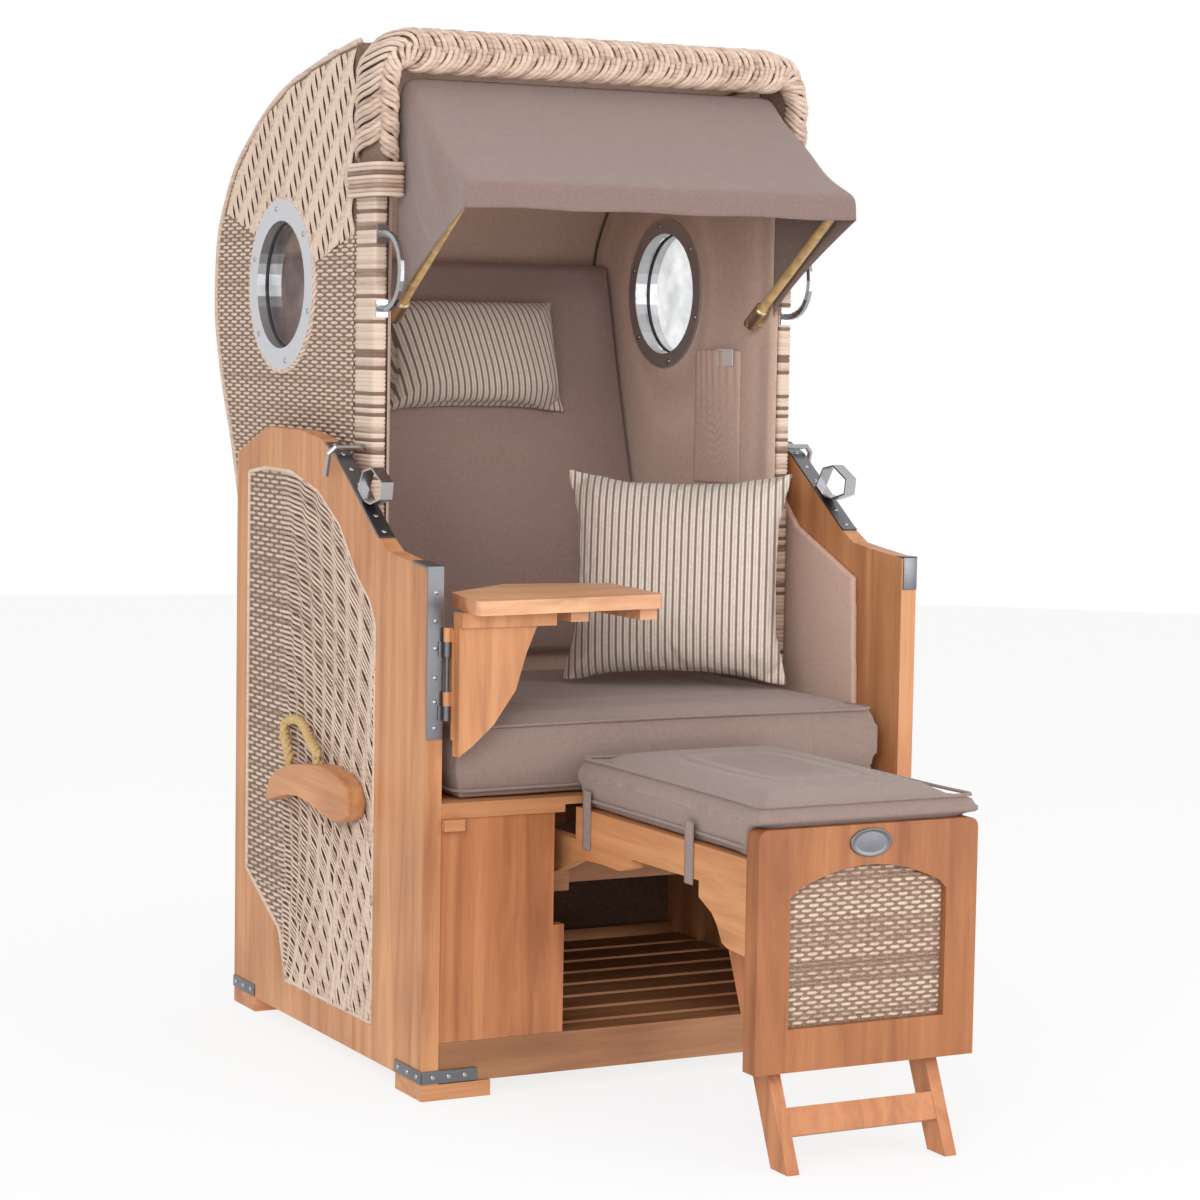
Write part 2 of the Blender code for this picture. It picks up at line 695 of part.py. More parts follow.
def hood_line():
    """The hood's outer line from its roof's front edge over the back to its low end."""
    depth = HOOD_BACK - HOOD_FRONT
    rise = HOOD_ROOF - HOOD_LOW
    line = [(HOOD_FRONT + s * depth, HOOD_LOW + t * rise) for s, t in HOOD_PROFILE_SHARES]
    line[0] = (POST_BACK + GAP, HOOD_ROOF)
    return line


def spread(start, end, width, space):
    """Start places of slats between two ends, evenly spaced."""
    count = max(2, round((end - start + space) / (width + space)))
    pitch = (end - start - width) / (count - 1)
    return [start + pitch * k for k in range(count)]


class Body:
    """A group of pieces that move together, held by one empty on their joint's axis."""

    def __init__(self, name, place, above=None):
        self.place = Vector(place)
        self.holder = bpy.data.objects.new(name, None)
        bpy.data.collections["hooded_beach_chair"].objects.link(self.holder)
        self.holder.empty_display_size = ROPE_RADIUS
        self.holder.location = self.place - (above.place if above else Vector((0, 0, 0)))
        if above:
            self.holder.parent = above.holder

    def add(self, name, mesh, entry, smooth=False):
        """Add a mesh drawn in the chair's frame as one piece of this body."""
        mesh.transform(Matrix.Translation(-self.place))
        mesh.name = name
        mesh.materials.clear()
        mesh.materials.append(material_of(entry))
        if smooth:
            mesh.shade_smooth()
            mesh.set_sharp_from_angle(angle=math.radians(35))
        piece = bpy.data.objects.new(name, mesh)
        bpy.data.collections["hooded_beach_chair"].objects.link(piece)
        piece.parent = self.holder
        return piece


def build_walls(base):
    """Side frames with their woven panels, linings, feet, catch racks."""
    top = wall_top_line()
    outline = [(0, FOOT_HEIGHT), (WALL_DEPTH, FOOT_HEIGHT), *top[::-1]]
    opening = [
        (s * WALL_DEPTH, FOOT_HEIGHT + t * (height_at(top, s * WALL_DEPTH) - FOOT_HEIGHT))
        for s, t in WALL_OPENING_SHARES
    ]
    seat = SEAT_TOP + GAP
    lining = [
        (min(s * WALL_DEPTH, BACK_FRONT - GAP), seat + t * (WALL_HEIGHT - seat))
        for s, t in WALL_LINING_SHARES
    ]
    rack_points = [p for p in top if RACK_START < p[0] < RACK_END]
    rack_line = [
        (RACK_START, height_at(top, RACK_START)), *rack_points, (RACK_END, height_at(top, RACK_END))
    ]
    rack = offset_line(rack_line, -GAP) + offset_line(rack_line, -GAP - RACK_THICK)[::-1]
    rack_middle = HALF_WIDTH - WALL_THICK / 2
    for side, way in SIDES:
        base.add(
            f"side_frame_{side}",
            board([outline, opening], "yz", way * WALL_INNER, way * HALF_WIDTH),
            TEAK,
        )
        face = HALF_WIDTH - WICKER_INSET
        base.add(
            f"side_wicker_{side}",
            board([inset(opening, GAP)], "yz", way * (face - WICKER_THICK), way * face),
            RATTAN,
        )
        base.add(
            f"side_lining_{side}", board([lining], "yz", way * LINING_FACE, way * BETWEEN_WALLS),
            LINING_CLOTH,
        )
        for place, start in (("front", 0), ("rear", WALL_DEPTH - FOOT_LENGTH)):
            base.add(
                f"foot_{place}_{side}",
                box(
                    (way * HALF_WIDTH, start, 0),
                    (way * (HALF_WIDTH - FOOT_WIDTH), start + FOOT_LENGTH, FOOT_HEIGHT - GAP),
                ),
                TEAK_DARK,
            )
        base.add(
            f"lock_strip_{side}",
            board([rack], "yz", way * (rack_middle - RACK_WIDTH / 2), way * (rack_middle + RACK_WIDTH / 2)),
            STEEL,
        )


def build_base(base):
    """Floor, front boards, back panel, seat deck and the fixed runners."""
    low = FOOT_HEIGHT
    rail_top = low + BOTTOM_RAIL_HEIGHT
    front_back = FRONT_INSET + FRONT_THICK
    inner = BETWEEN_WALLS
    rear = BACK_FRONT - GAP
    slat_low = FLOOR_TOP - SLAT_THICK
    others = [
        box((-inner, rear - FRONT_THICK, low), (inner, rear, rail_top)),
    ]
    for way in (-1, 1):
        others.append(
            box(
                (way * inner, front_back - OVERLAP, slat_low - BATTEN_SIZE + OVERLAP),
                (way * (inner - BATTEN_SIZE), rear - FRONT_THICK + OVERLAP, slat_low + OVERLAP),
            )
        )
    first = front_back + FLOOR_SLAT_SPACE
    last = rear - FRONT_THICK - FLOOR_SLAT_SPACE
    for start in spread(first, last, FLOOR_SLAT_WIDTH, FLOOR_SLAT_SPACE):
        others.append(box((-inner, start, slat_low), (inner, start + FLOOR_SLAT_WIDTH, FLOOR_TOP)))
    base.add(
        "base_floor",
        combined(box((-inner, FRONT_INSET, low), (inner, front_back, rail_top)), others),
        TEAK,
    )
    rail_low = SEAT_TOP - SEAT_RAIL_HEIGHT
    for side, way in SIDES:
        outline = [
            (way * inner, rail_top + GAP), (way * OPENING_HALF_LOW, rail_top + GAP),
            (way * OPENING_HALF_LOW, OPENING_STEP_HEIGHT), (way * OPENING_HALF_TOP, OPENING_STEP_HEIGHT),
            (way * OPENING_HALF_TOP, rail_low - GAP), (way * inner, rail_low - GAP),
        ]
        base.add(f"front_panel_{side}", board([outline], "xz", FRONT_INSET, front_back), TEAK)
    notch = SEAT_TOP - SLAT_THICK
    rail = [
        (-inner, rail_low), (-SEAT_NOTCH_HALF, rail_low), (-SEAT_NOTCH_HALF, notch),
        (SEAT_NOTCH_HALF, notch), (SEAT_NOTCH_HALF, rail_low), (inner, rail_low),
        (inner, SEAT_TOP), (-inner, SEAT_TOP),
    ]
    base.add("seat_rail", board([rail], "xz", 0, SEAT_RAIL_DEPTH), TEAK)
    deck_front = SEAT_RAIL_DEPTH + GAP
    pieces = []
    for way in (-1, 1):
        pieces.append(
            box(
                (way * inner, deck_front, SEAT_TOP - SLAT_THICK - BATTEN_SIZE),
                (way * (inner - BATTEN_SIZE), rear, SEAT_TOP - SLAT_THICK + OVERLAP),
            )
        )
    for start in spread(deck_front, rear, DECK_SLAT_WIDTH, DECK_SLAT_SPACE):
        pieces.append(
            box((-inner, start, SEAT_TOP - SLAT_THICK), (inner, start + DECK_SLAT_WIDTH, SEAT_TOP))
        )
    base.add("seat_slats", combined(pieces[-1], pieces[:-1]), TEAK_DARK)
    base.add("back_panel", box((-inner, BACK_FRONT, low), (inner, WALL_DEPTH, SEAT_TOP)), RATTAN)
    tail_low = REST_RAIL_TOP - REST_RAIL_DROP * REST_RAIL_SHARES[4][1]
    runner_top = tail_low - RUNNER_TOP_DROP
    runner_low = runner_top - RUNNER_HEIGHT
    bars = [
        box((way * RUNNER_HALF_IN, RUNNER_FRONT, runner_low), (way * RUNNER_HALF_OUT, rear, runner_top))
        for way in (-1, 1)
    ]
    ties = [
        box((-inner, start, runner_low), (inner, start + TIE_WIDTH, runner_top))
        for start in (TIE_FRONT, TIE_BACK)
    ]
    base.add("footrest_runners", combined(ties[0], [ties[1], *bars]), TEAK_DARK)


def soft_box_rule(half, front, back, low, height, crown, edge):
    """A rule for a box cushion: crowned top, flat underside, sides drawn in, rim rounded."""
    middle = (front + back) / 2
    reach = (back - front) / 2

    def rule(u, v, w):
        rim_u = edge * (abs(w) > 0.99) * (abs(u) > 0.99)
        rim_v = edge * (abs(w) > 0.99) * (abs(v) > 0.99)
        x = u * half * (1 - PAD_DRAW_SHARE * (1 - v * v)) - math.copysign(rim_u, u)
        y = middle + v * reach * (1 - PAD_DRAW_SHARE * (1 - u * u)) - math.copysign(rim_v, v)
        z = low + (w + 1) / 2 * height
        if w > 0:
            z += w * (crown * swell(u, v) - max(rim_u, rim_v) / 2)
        return x, y, z

    return rule


def pillow_rule(width, height, thick, flat_back=False):
    """A rule for a scatter pillow standing in its own XZ plane, its face to -Y."""

    def rule(u, v, w):
        x = u * width / 2 * (1 - PILLOW_DRAW_SHARE * (1 - v * v))
        z = v * height / 2 * (1 - PILLOW_DRAW_SHARE * (1 - u * u))
        fill = math.sqrt(swell(u, v, 4))
        half = thick / 2
        if flat_back:
            half = thick * (NECK_FRONT_SHARE if w > 0 else 1 - NECK_FRONT_SHARE)
        return x, -w * (PILLOW_SEAM / 2 + (half - PILLOW_SEAM / 2) * fill), z

    return rule


def build_cushions(base):
    """Seat cushion and the striped pillow standing on it."""
    seat = SEAT_TOP + GAP
    rule = soft_box_rule(
        SEAT_PAD_HALF, SEAT_PAD_FRONT, SEAT_PAD_BACK, seat, SEAT_PAD_HEIGHT, SEAT_PAD_CROWN, SEAT_PAD_EDGE
    )
    base.add("seat_cushion", shaped(block(12, 10, 3), rule), PAD_CLOTH, True)
    rest = seat + SEAT_PAD_HEIGHT + SEAT_PAD_CROWN + GAP
    mesh = shaped(block(8, 8, 2), pillow_rule(PILLOW_WIDTH, PILLOW_HEIGHT, PILLOW_THICK))
    mesh.transform(Matrix.Rotation(-PILLOW_LEAN, 4, "X"))
    mesh.transform(Matrix.Rotation(PILLOW_TURN, 4, "Z"))
    lowest = min(vert.co.z for vert in mesh.vertices)
    mesh.transform(Matrix.Translation((PILLOW_X, PILLOW_Y, rest - lowest)))
    base.add("square_pillow", mesh, STRIPED_CLOTH, True)


def build_hood(hood):
    """Sides, shell, posts, braid, lining, portholes, back cushion and neck pillow."""
    line = hood_line()
    depth = POST_BACK + GAP
    pivot = (HOOD_PIVOT_Y, HOOD_PIVOT_Z)
    lug = circle(pivot, LUG_RADIUS, 13, 0, -math.pi, False)
    side_outline = [
        (depth, POST_LOW), (depth, HOOD_ROOF), *line[1:], *lug,
        (SIDE_BACK_LOW_Y, HOOD_LINING_LOW),
    ]
    port = (PORT_Y, PORT_Z)
    port_hole = circle(port, PORT_TUBE_RADIUS + GAP, 36)
    axle_hole = circle(pivot, HOOD_AXLE_RADIUS + GAP, 20)
    inner_line = offset_line(line, HOOD_SHELL_THICK)
    inner_line[0] = (depth, height_at(inner_line, depth))
    lining_line = offset_line(line, HOOD_SHELL_THICK + GAP)
    lining_inner = offset_line(line, HOOD_SHELL_THICK + GAP + HOOD_LINING_THICK)
    for side, way in SIDES:
        hood.add(
            f"hood_side_{side}",
            board([side_outline, port_hole, axle_hole], "yz", way * HOOD_INNER, way * HOOD_HALF),
            RATTAN,
        )
        hood.add(
            f"hood_post_{side}",
            box((way * HOOD_INNER, HOOD_FRONT, POST_LOW), (way * HOOD_HALF, POST_BACK, BRAID_LOW - GAP)),
            RATTAN,
        )
    shell_half = HOOD_INNER - GAP
    hood.add(
        "hood_shell", board([line + inner_line[::-1]], "yz", -shell_half, shell_half), RATTAN
    )
    low_y = depth_at(lining_line, HOOD_LINING_LOW)
    above = [p for p in lining_line if p[1] > HOOD_LINING_LOW]
    front = HOOD_FRONT + HOOD_LINING_INSET
    notch = BRAID_LOW - GAP
    roof_start = depth + GAP
    panel = [
        (front, HOOD_LINING_LOW), (front, notch), (roof_start, notch),
        (roof_start, height_at(lining_line[:3], roof_start)), *above[1:], (low_y, HOOD_LINING_LOW),
    ]
    low_in = depth_at(lining_inner, HOOD_LINING_LOW)
    above_in = [p for p in lining_inner if p[1] > HOOD_LINING_LOW]
    strip = [
        (roof_start, height_at(lining_line[:3], roof_start)), *above[1:], (low_y, HOOD_LINING_LOW),
        (low_in, HOOD_LINING_LOW), *above_in[:0:-1],
        (roof_start, height_at(lining_inner[:3], roof_start)),
    ]
    panels = [
        board([panel, port_hole], "yz", way * HOOD_LINING_IN, way * HOOD_LINING_OUT) for way in (-1, 1)
    ]
    reach = HOOD_LINING_OUT - HOOD_LINING_THICK / 2
    hood.add(
        "hood_lining", combined(panels[0], [board([strip], "yz", -reach, reach), panels[1]]),
        LINING_CLOTH,
    )
    braid = [
        (-BRAID_HALF, BRAID_LOW), (-BRAID_HALF, BRAID_TOP), (BRAID_HALF, BRAID_TOP),
        (BRAID_HALF, BRAID_LOW), (BRAID_LEG_HALF_IN, BRAID_LOW), (BRAID_LEG_HALF_IN, BEAM_UNDER),
        (-BRAID_LEG_HALF_IN, BEAM_UNDER), (-BRAID_LEG_HALF_IN, BRAID_LOW),
    ]
    braid_mesh = board([rounded(braid, BRAID_CORNER, (1, 2))], "xz", BRAID_FRONT, POST_BACK)
    bevel = {"width": BRAID_ROUND, "segments": 2, "limit_method": "ANGLE", "angle_limit": math.radians(50)}
    hood.add("hood_braid", modified(braid_mesh, ("BEVEL", bevel)), RATTAN, True)
    for side, way in SIDES:
        out = HOOD_HALF + GAP
        inside = HOOD_LINING_IN - GAP
        profile = [
            (PORT_BORE_RADIUS, inside - PORT_FLANGE_THICK),
            (PORT_BORE_RADIUS, out + PORT_FLANGE_THICK),
            (PORT_FLANGE_RADIUS, out + PORT_FLANGE_THICK),
            (PORT_FLANGE_RADIUS, out),
            (PORT_TUBE_RADIUS, out),
            (PORT_TUBE_RADIUS, inside),
            (PORT_INNER_FLANGE_RADIUS, inside),
            (PORT_INNER_FLANGE_RADIUS, inside - PORT_FLANGE_THICK),
        ]
        hood.add(f"porthole_ring_{side}", turned(profile, way), FLANGE, True)
        pane = HOOD_HALF - PORT_PANE_DEPTH
        hood.add(
            f"porthole_pane_{side}",
            rod(
                (way * pane, *port), (way * (pane - PORT_PANE_THICK), *port), PORT_BORE_RADIUS - GAP, 36
            ),
            PANE,
        )
    build_back_pads(hood, lining_inner)
    build_bows(hood)


def turned(profile, way):
    """A ring turned about the porthole's axis from a profile of radius and distance from the middle."""
    mesh = bpy.data.meshes.new("profile")
    edges = [(k, (k + 1) % len(profile)) for k in range(len(profile))]
    mesh.from_pydata([(r, 0, x) for r, x in profile], edges, [])
    screw = {
        "axis": "Z", "angle": math.tau, "steps": 36, "render_steps": 36,
        "use_merge_vertices": True, "merge_threshold": WELD,
    }
    ring = modified(mesh, ("SCREW", screw))
    lay = Matrix(((0, 0, way), (0, 1, 0), (-way, 0, 0))).to_4x4()
    ring.transform(Matrix.Translation((0, PORT_Y, PORT_Z)) @ lay)
    return clean_mesh(ring)


def build_back_pads(hood, lining_inner):
    """The reclined back cushion and the pillow strapped to it."""
    half = HOOD_LINING_IN - GAP
    rear_low = depth_at(lining_inner, BACK_PAD_LOW) - GAP
    rear_top = depth_at(lining_inner, BACK_PAD_TOP) - GAP

    def rule(u, v, w):
        t = (v + 1) / 2
        rim_u = BACK_PAD_EDGE * (w < -0.99) * (abs(u) > 0.99)
        rim_v = BACK_PAD_EDGE * (w < -0.99) * (abs(v) > 0.99)
        x = u * half * (1 - PAD_DRAW_SHARE * (1 - v * v)) - math.copysign(rim_u, u)
        z = BACK_PAD_LOW + t * (BACK_PAD_TOP - BACK_PAD_LOW) - math.copysign(rim_v, v)
        face = BACK_PAD_LOW_Y + t * (BACK_PAD_TOP_Y - BACK_PAD_LOW_Y)
        rear = rear_low + t * (rear_top - rear_low)
        share = (w + 1) / 2
        y = face + share * (rear - face)
        if w < 0:
            y += w * (BACK_PAD_CROWN * swell(u, v) - max(rim_u, rim_v) / 2)
        return x, y, z

    hood.add("back_cushion", shaped(block(10, 12, 3), rule), PAD_CLOTH, True)
    recline = math.atan2(BACK_PAD_TOP_Y - BACK_PAD_LOW_Y, BACK_PAD_TOP - BACK_PAD_LOW)
    neck = shaped(block(8, 6, 2), pillow_rule(NECK_WIDTH, NECK_HEIGHT, NECK_THICK, True))
    neck.transform(Matrix.Rotation(-recline, 4, "X"))
    share = (NECK_CENTRE_Z - BACK_PAD_LOW) / (BACK_PAD_TOP - BACK_PAD_LOW)
    face = BACK_PAD_LOW_Y + share * (BACK_PAD_TOP_Y - BACK_PAD_LOW_Y)
    back = max(vert.co.y - vert.co.z * math.tan(recline) for vert in neck.vertices)
    neck.transform(Matrix.Translation((NECK_CENTRE_X, face - BACK_PAD_CROWN - GAP - back, NECK_CENTRE_Z)))
    hood.add("neck_pillow", neck, STRIPED_CLOTH, True)


def build_bows(hood):
    """Bent grab handles on the posts' front faces."""
    front = HOOD_FRONT - GAP
    middle = (BOW_LOW + BOW_HIGH) / 2
    reach = BOW_REACH - BOW_RADIUS - BOW_TAB_THICK / 2
    half = (BOW_HIGH - BOW_LOW) / 2 - BOW_RADIUS
    shares = (
        (0.0, -1.0), (0.25, -1.0), (0.62, -0.86), (0.90, -0.50), (1.0, 0.0),
        (0.90, 0.50), (0.62, 0.86), (0.25, 1.0), (0.0, 1.0),
    )
    for side, way in SIDES:
        start = front - BOW_TAB_THICK / 2
        path = smooth_line([(way * BOW_X, start - s * reach, middle + t * half) for s, t in shares], 2)
        tabs = [
            box(
                (way * BOW_X - BOW_TAB_WIDTH / 2, front - BOW_TAB_THICK, z - BOW_TAB_HEIGHT / 2),
                (way * BOW_X + BOW_TAB_WIDTH / 2, front, z + BOW_TAB_HEIGHT / 2),
            )
            for z in (middle - half, middle + half)
        ]
        hood.add(f"grab_bow_{side}", combined(tube(path, BOW_RADIUS, 1), tabs), STEEL, True)


def build_awning(hood, awning):
    """Arms, front bar and the cloth stretched from the hood's beam to the bar."""
    pivot = Vector((0, AWNING_PIVOT_Y, AWNING_PIVOT_Z))
    along = Vector((0, -math.cos(AWNING_RISE), math.sin(AWNING_RISE)))
    bar = pivot + along * AWNING_ARM_LENGTH
    for side, way in SIDES:
        across = Vector((way * AWNING_ARM_X, 0, 0))
        end = AWNING_ARM_LENGTH - AWNING_BAR_RADIUS - GAP
        stem = rod(pivot + across, pivot + across + along * end, AWNING_ROD_RADIUS, 16)
        sleeve = rod(
            pivot + across + along * FERRULE_START,
            pivot + across + along * (FERRULE_START + FERRULE_LENGTH), FERRULE_RADIUS, 6,
        )
        boss_out = HOOD_LINING_IN - GAP
        boss = rod(
            (way * (AWNING_ARM_X - FERRULE_RADIUS), pivot.y, pivot.z), (way * boss_out, pivot.y, pivot.z),
            BOSS_RADIUS, 16,
        )
        awning.add(f"awning_arm_{side}", combined(stem, [sleeve, boss]), POLISHED_WOOD, True)
    awning.add(
        "awning_bar",
        rod((-AWNING_BAR_HALF, bar.y, bar.z), (AWNING_BAR_HALF, bar.y, bar.z), AWNING_BAR_RADIUS, 16),
        POLISHED_WOOD, True,
    )
    columns = CLOTH_ROOF_COLUMNS + 2 * CLOTH_CHEEK_COLUMNS
    work = bmesh.new()
    bmesh.ops.create_grid(work, x_segments=columns, y_segments=CLOTH_ROWS + 1, size=1)
    beam_z = BEAM_UNDER - GAP
    hem_y = bar.y - AWNING_BAR_RADIUS - CLOTH_HEM_SPACE
    clear = AWNING_BAR_RADIUS + GAP + CLOTH_THICK
    reach = Vector((bar.y - CLOTH_BEAM_Y, bar.z - beam_z))
    lean = math.tan(math.atan2(reach.y, reach.x) - math.asin(clear / reach.length))
    at_bar = (CLOTH_BEAM_Y - bar.y) / (CLOTH_BEAM_Y - hem_y)
    front_top = beam_z + lean * (hem_y - CLOTH_BEAM_Y)
    front_low = front_top - CLOTH_FRONT_DROP
    for vert in work.verts:
        column = round((vert.co.x + 1) / 2 * columns)
        row = round((1 - vert.co.y) / 2 * (CLOTH_ROWS + 1))
        run = min(row / (CLOTH_ROWS - 1), 1)
        t = run * at_bar if row < CLOTH_ROWS else 1
        y = CLOTH_BEAM_Y + t * (hem_y - CLOTH_BEAM_Y)
        top = beam_z + t * (front_top - beam_z)
        low = CLOTH_REAR_LOW + t * (front_low - CLOTH_REAR_LOW)
        if row > CLOTH_ROWS:
            top = front_top - CLOTH_HEM_DROP
            low = top - CLOTH_HEM_CHEEK_DROP
        belly = 4 * run * (1 - run)
        in_roof = CLOTH_CHEEK_COLUMNS <= column <= columns - CLOTH_CHEEK_COLUMNS
        if in_roof:
            share = (column - CLOTH_CHEEK_COLUMNS) / CLOTH_ROOF_COLUMNS
            x = (2 * share - 1) * CLOTH_HALF
            z = top - CLOTH_SAG * belly * 4 * share * (1 - share)
        else:
            way = -1 if column < CLOTH_CHEEK_COLUMNS else 1
            rank = column if way < 0 else columns - column
            share = rank / CLOTH_CHEEK_COLUMNS
            x = way * (CLOTH_HALF + CLOTH_CHEEK_BULGE * belly * 4 * share * (1 - share))
            z = low + share * (top - low)
        vert.co = (x, y, z)
    mesh = bpy.data.meshes.new("cloth")
    work.to_mesh(mesh)
    work.free()
    solid = {"thickness": CLOTH_THICK, "offset": -1.0 if cloth_faces_out(mesh) else 1.0}
    hood.add("awning_cloth", modified(mesh, ("SOLIDIFY", solid)), AWNING_CLOTH, True)


def cloth_faces_out(mesh):
    """Whether the cloth's roof faces point up."""
    return sum(face.normal.z * face.area for face in mesh.polygons) > 0


def build_tray(base, tray):
    """Side tray on a strap hinge: fixed strap and pin, then the swinging gusset and top."""
    pin = Vector((-TRAY_PIN_X, -TRAY_PIN_REACH, 0))
    strap_y = -GAP
    top = wall_top_line()
    lap = height_at(top, STRAP_LAP) + GAP
    lip = ARM_HEIGHT + GAP
    strap_outline = [
        (strap_y - STRAP_THICK, STRAP_LOW), (strap_y, STRAP_LOW), (strap_y, lip), (STRAP_LAP, lap),
        (STRAP_LAP, lap + STRAP_THICK), (strap_y - STRAP_THICK, lip + STRAP_THICK),
    ]
    strap_out = HALF_WIDTH
    pieces = []
    for low in (KNUCKLE_LOW_Z, KNUCKLE_HIGH_Z):
        high = low + KNUCKLE_HEIGHT
        pieces.append(rod((pin.x, pin.y, low), (pin.x, pin.y, high), KNUCKLE_RADIUS, 16))
        pieces.append(
            box(
                (pin.x - TONGUE_LENGTH, strap_y - STRAP_THICK - TONGUE_THICK + OVERLAP, low),
                (pin.x, strap_y - STRAP_THICK + OVERLAP, high),
            )
        )
    pin_low = KNUCKLE_LOW_Z
    pin_high = KNUCKLE_HIGH_Z + 2 * KNUCKLE_HEIGHT + GAP
    pieces.append(rod((pin.x, pin.y, pin_low), (pin.x, pin.y, pin_high), PIN_RADIUS, 16))
    base.add(
        "tray_hinge",
        combined(board([strap_outline], "yz", -strap_out, -strap_out + STRAP_WIDTH), pieces),
        STEEL,
    )
    under = TRAY_TOP - TRAY_THICK
    rail_low = under - GAP - TRAY_RAIL_HEIGHT
    back = pin.y - GUSSET_FACE
    face = back - GUSSET_THICK
    edge = pin.x + GUSSET_EDGE
    gusset_high = rail_low + OVERLAP
    gusset = [
        (edge + s * GUSSET_WIDTH, GUSSET_LOW + t * (gusset_high - GUSSET_LOW)) for s, t in GUSSET_SHARES
    ]
    bore = PIN_RADIUS + GAP
    leaf_back = back + STRAP_THICK - OVERLAP
    leaf_start = pin.x + KNUCKLE_RADIUS + 2 * GAP
    support = [
        board([gusset], "xz", face, back),
        box((edge, back, rail_low), (edge + TRAY_RAIL_LENGTH, back - TRAY_RAIL_WIDTH, under - GAP)),
        box((leaf_start, back - OVERLAP, LEAF_LOW), (edge + LEAF_LENGTH, leaf_back, LEAF_HIGH)),
    ]
    bores = []
    for low in (KNUCKLE_LOW_Z, KNUCKLE_HIGH_Z):
        start = low + KNUCKLE_HEIGHT + GAP
        stop = start + KNUCKLE_HEIGHT - GAP
        support.append(rod((pin.x, pin.y, start), (pin.x, pin.y, stop), KNUCKLE_RADIUS, 16))
        support.append(box((pin.x, back - OVERLAP, start), (leaf_start + OVERLAP, leaf_back, stop)))
        bores.append(
            rod((pin.x, pin.y, start - OVERRUN), (pin.x, pin.y, stop + OVERRUN), bore, 16)
        )
    joined = combined(support[0], support[1:])
    tray.add("tray_support", combined(joined, bores, "DIFFERENCE"), TEAK)
    corner = (pin.x, pin.y - TRAY_FRONT)
    outline = [
        (corner[0] + s * TRAY_WIDTH, corner[1] + t * TRAY_DEPTH) for s, t in TRAY_SHARES
    ]
    plate = board([rounded(outline, TRAY_ROUND)], "xy", under, TRAY_TOP)
    battens = [
        box(
            (pin.x + start, pin.y - TRAY_BATTEN_FRONT, under - TRAY_BATTEN_HEIGHT),
            (pin.x + start + TRAY_BATTEN_WIDTH, pin.y + TRAY_BATTEN_BACK, under + OVERLAP),
        )
        for start in (TRAY_BATTEN_NEAR, TRAY_BATTEN_FAR)
    ]
    tray.add("tray_top", combined(plate, battens), TEAK)


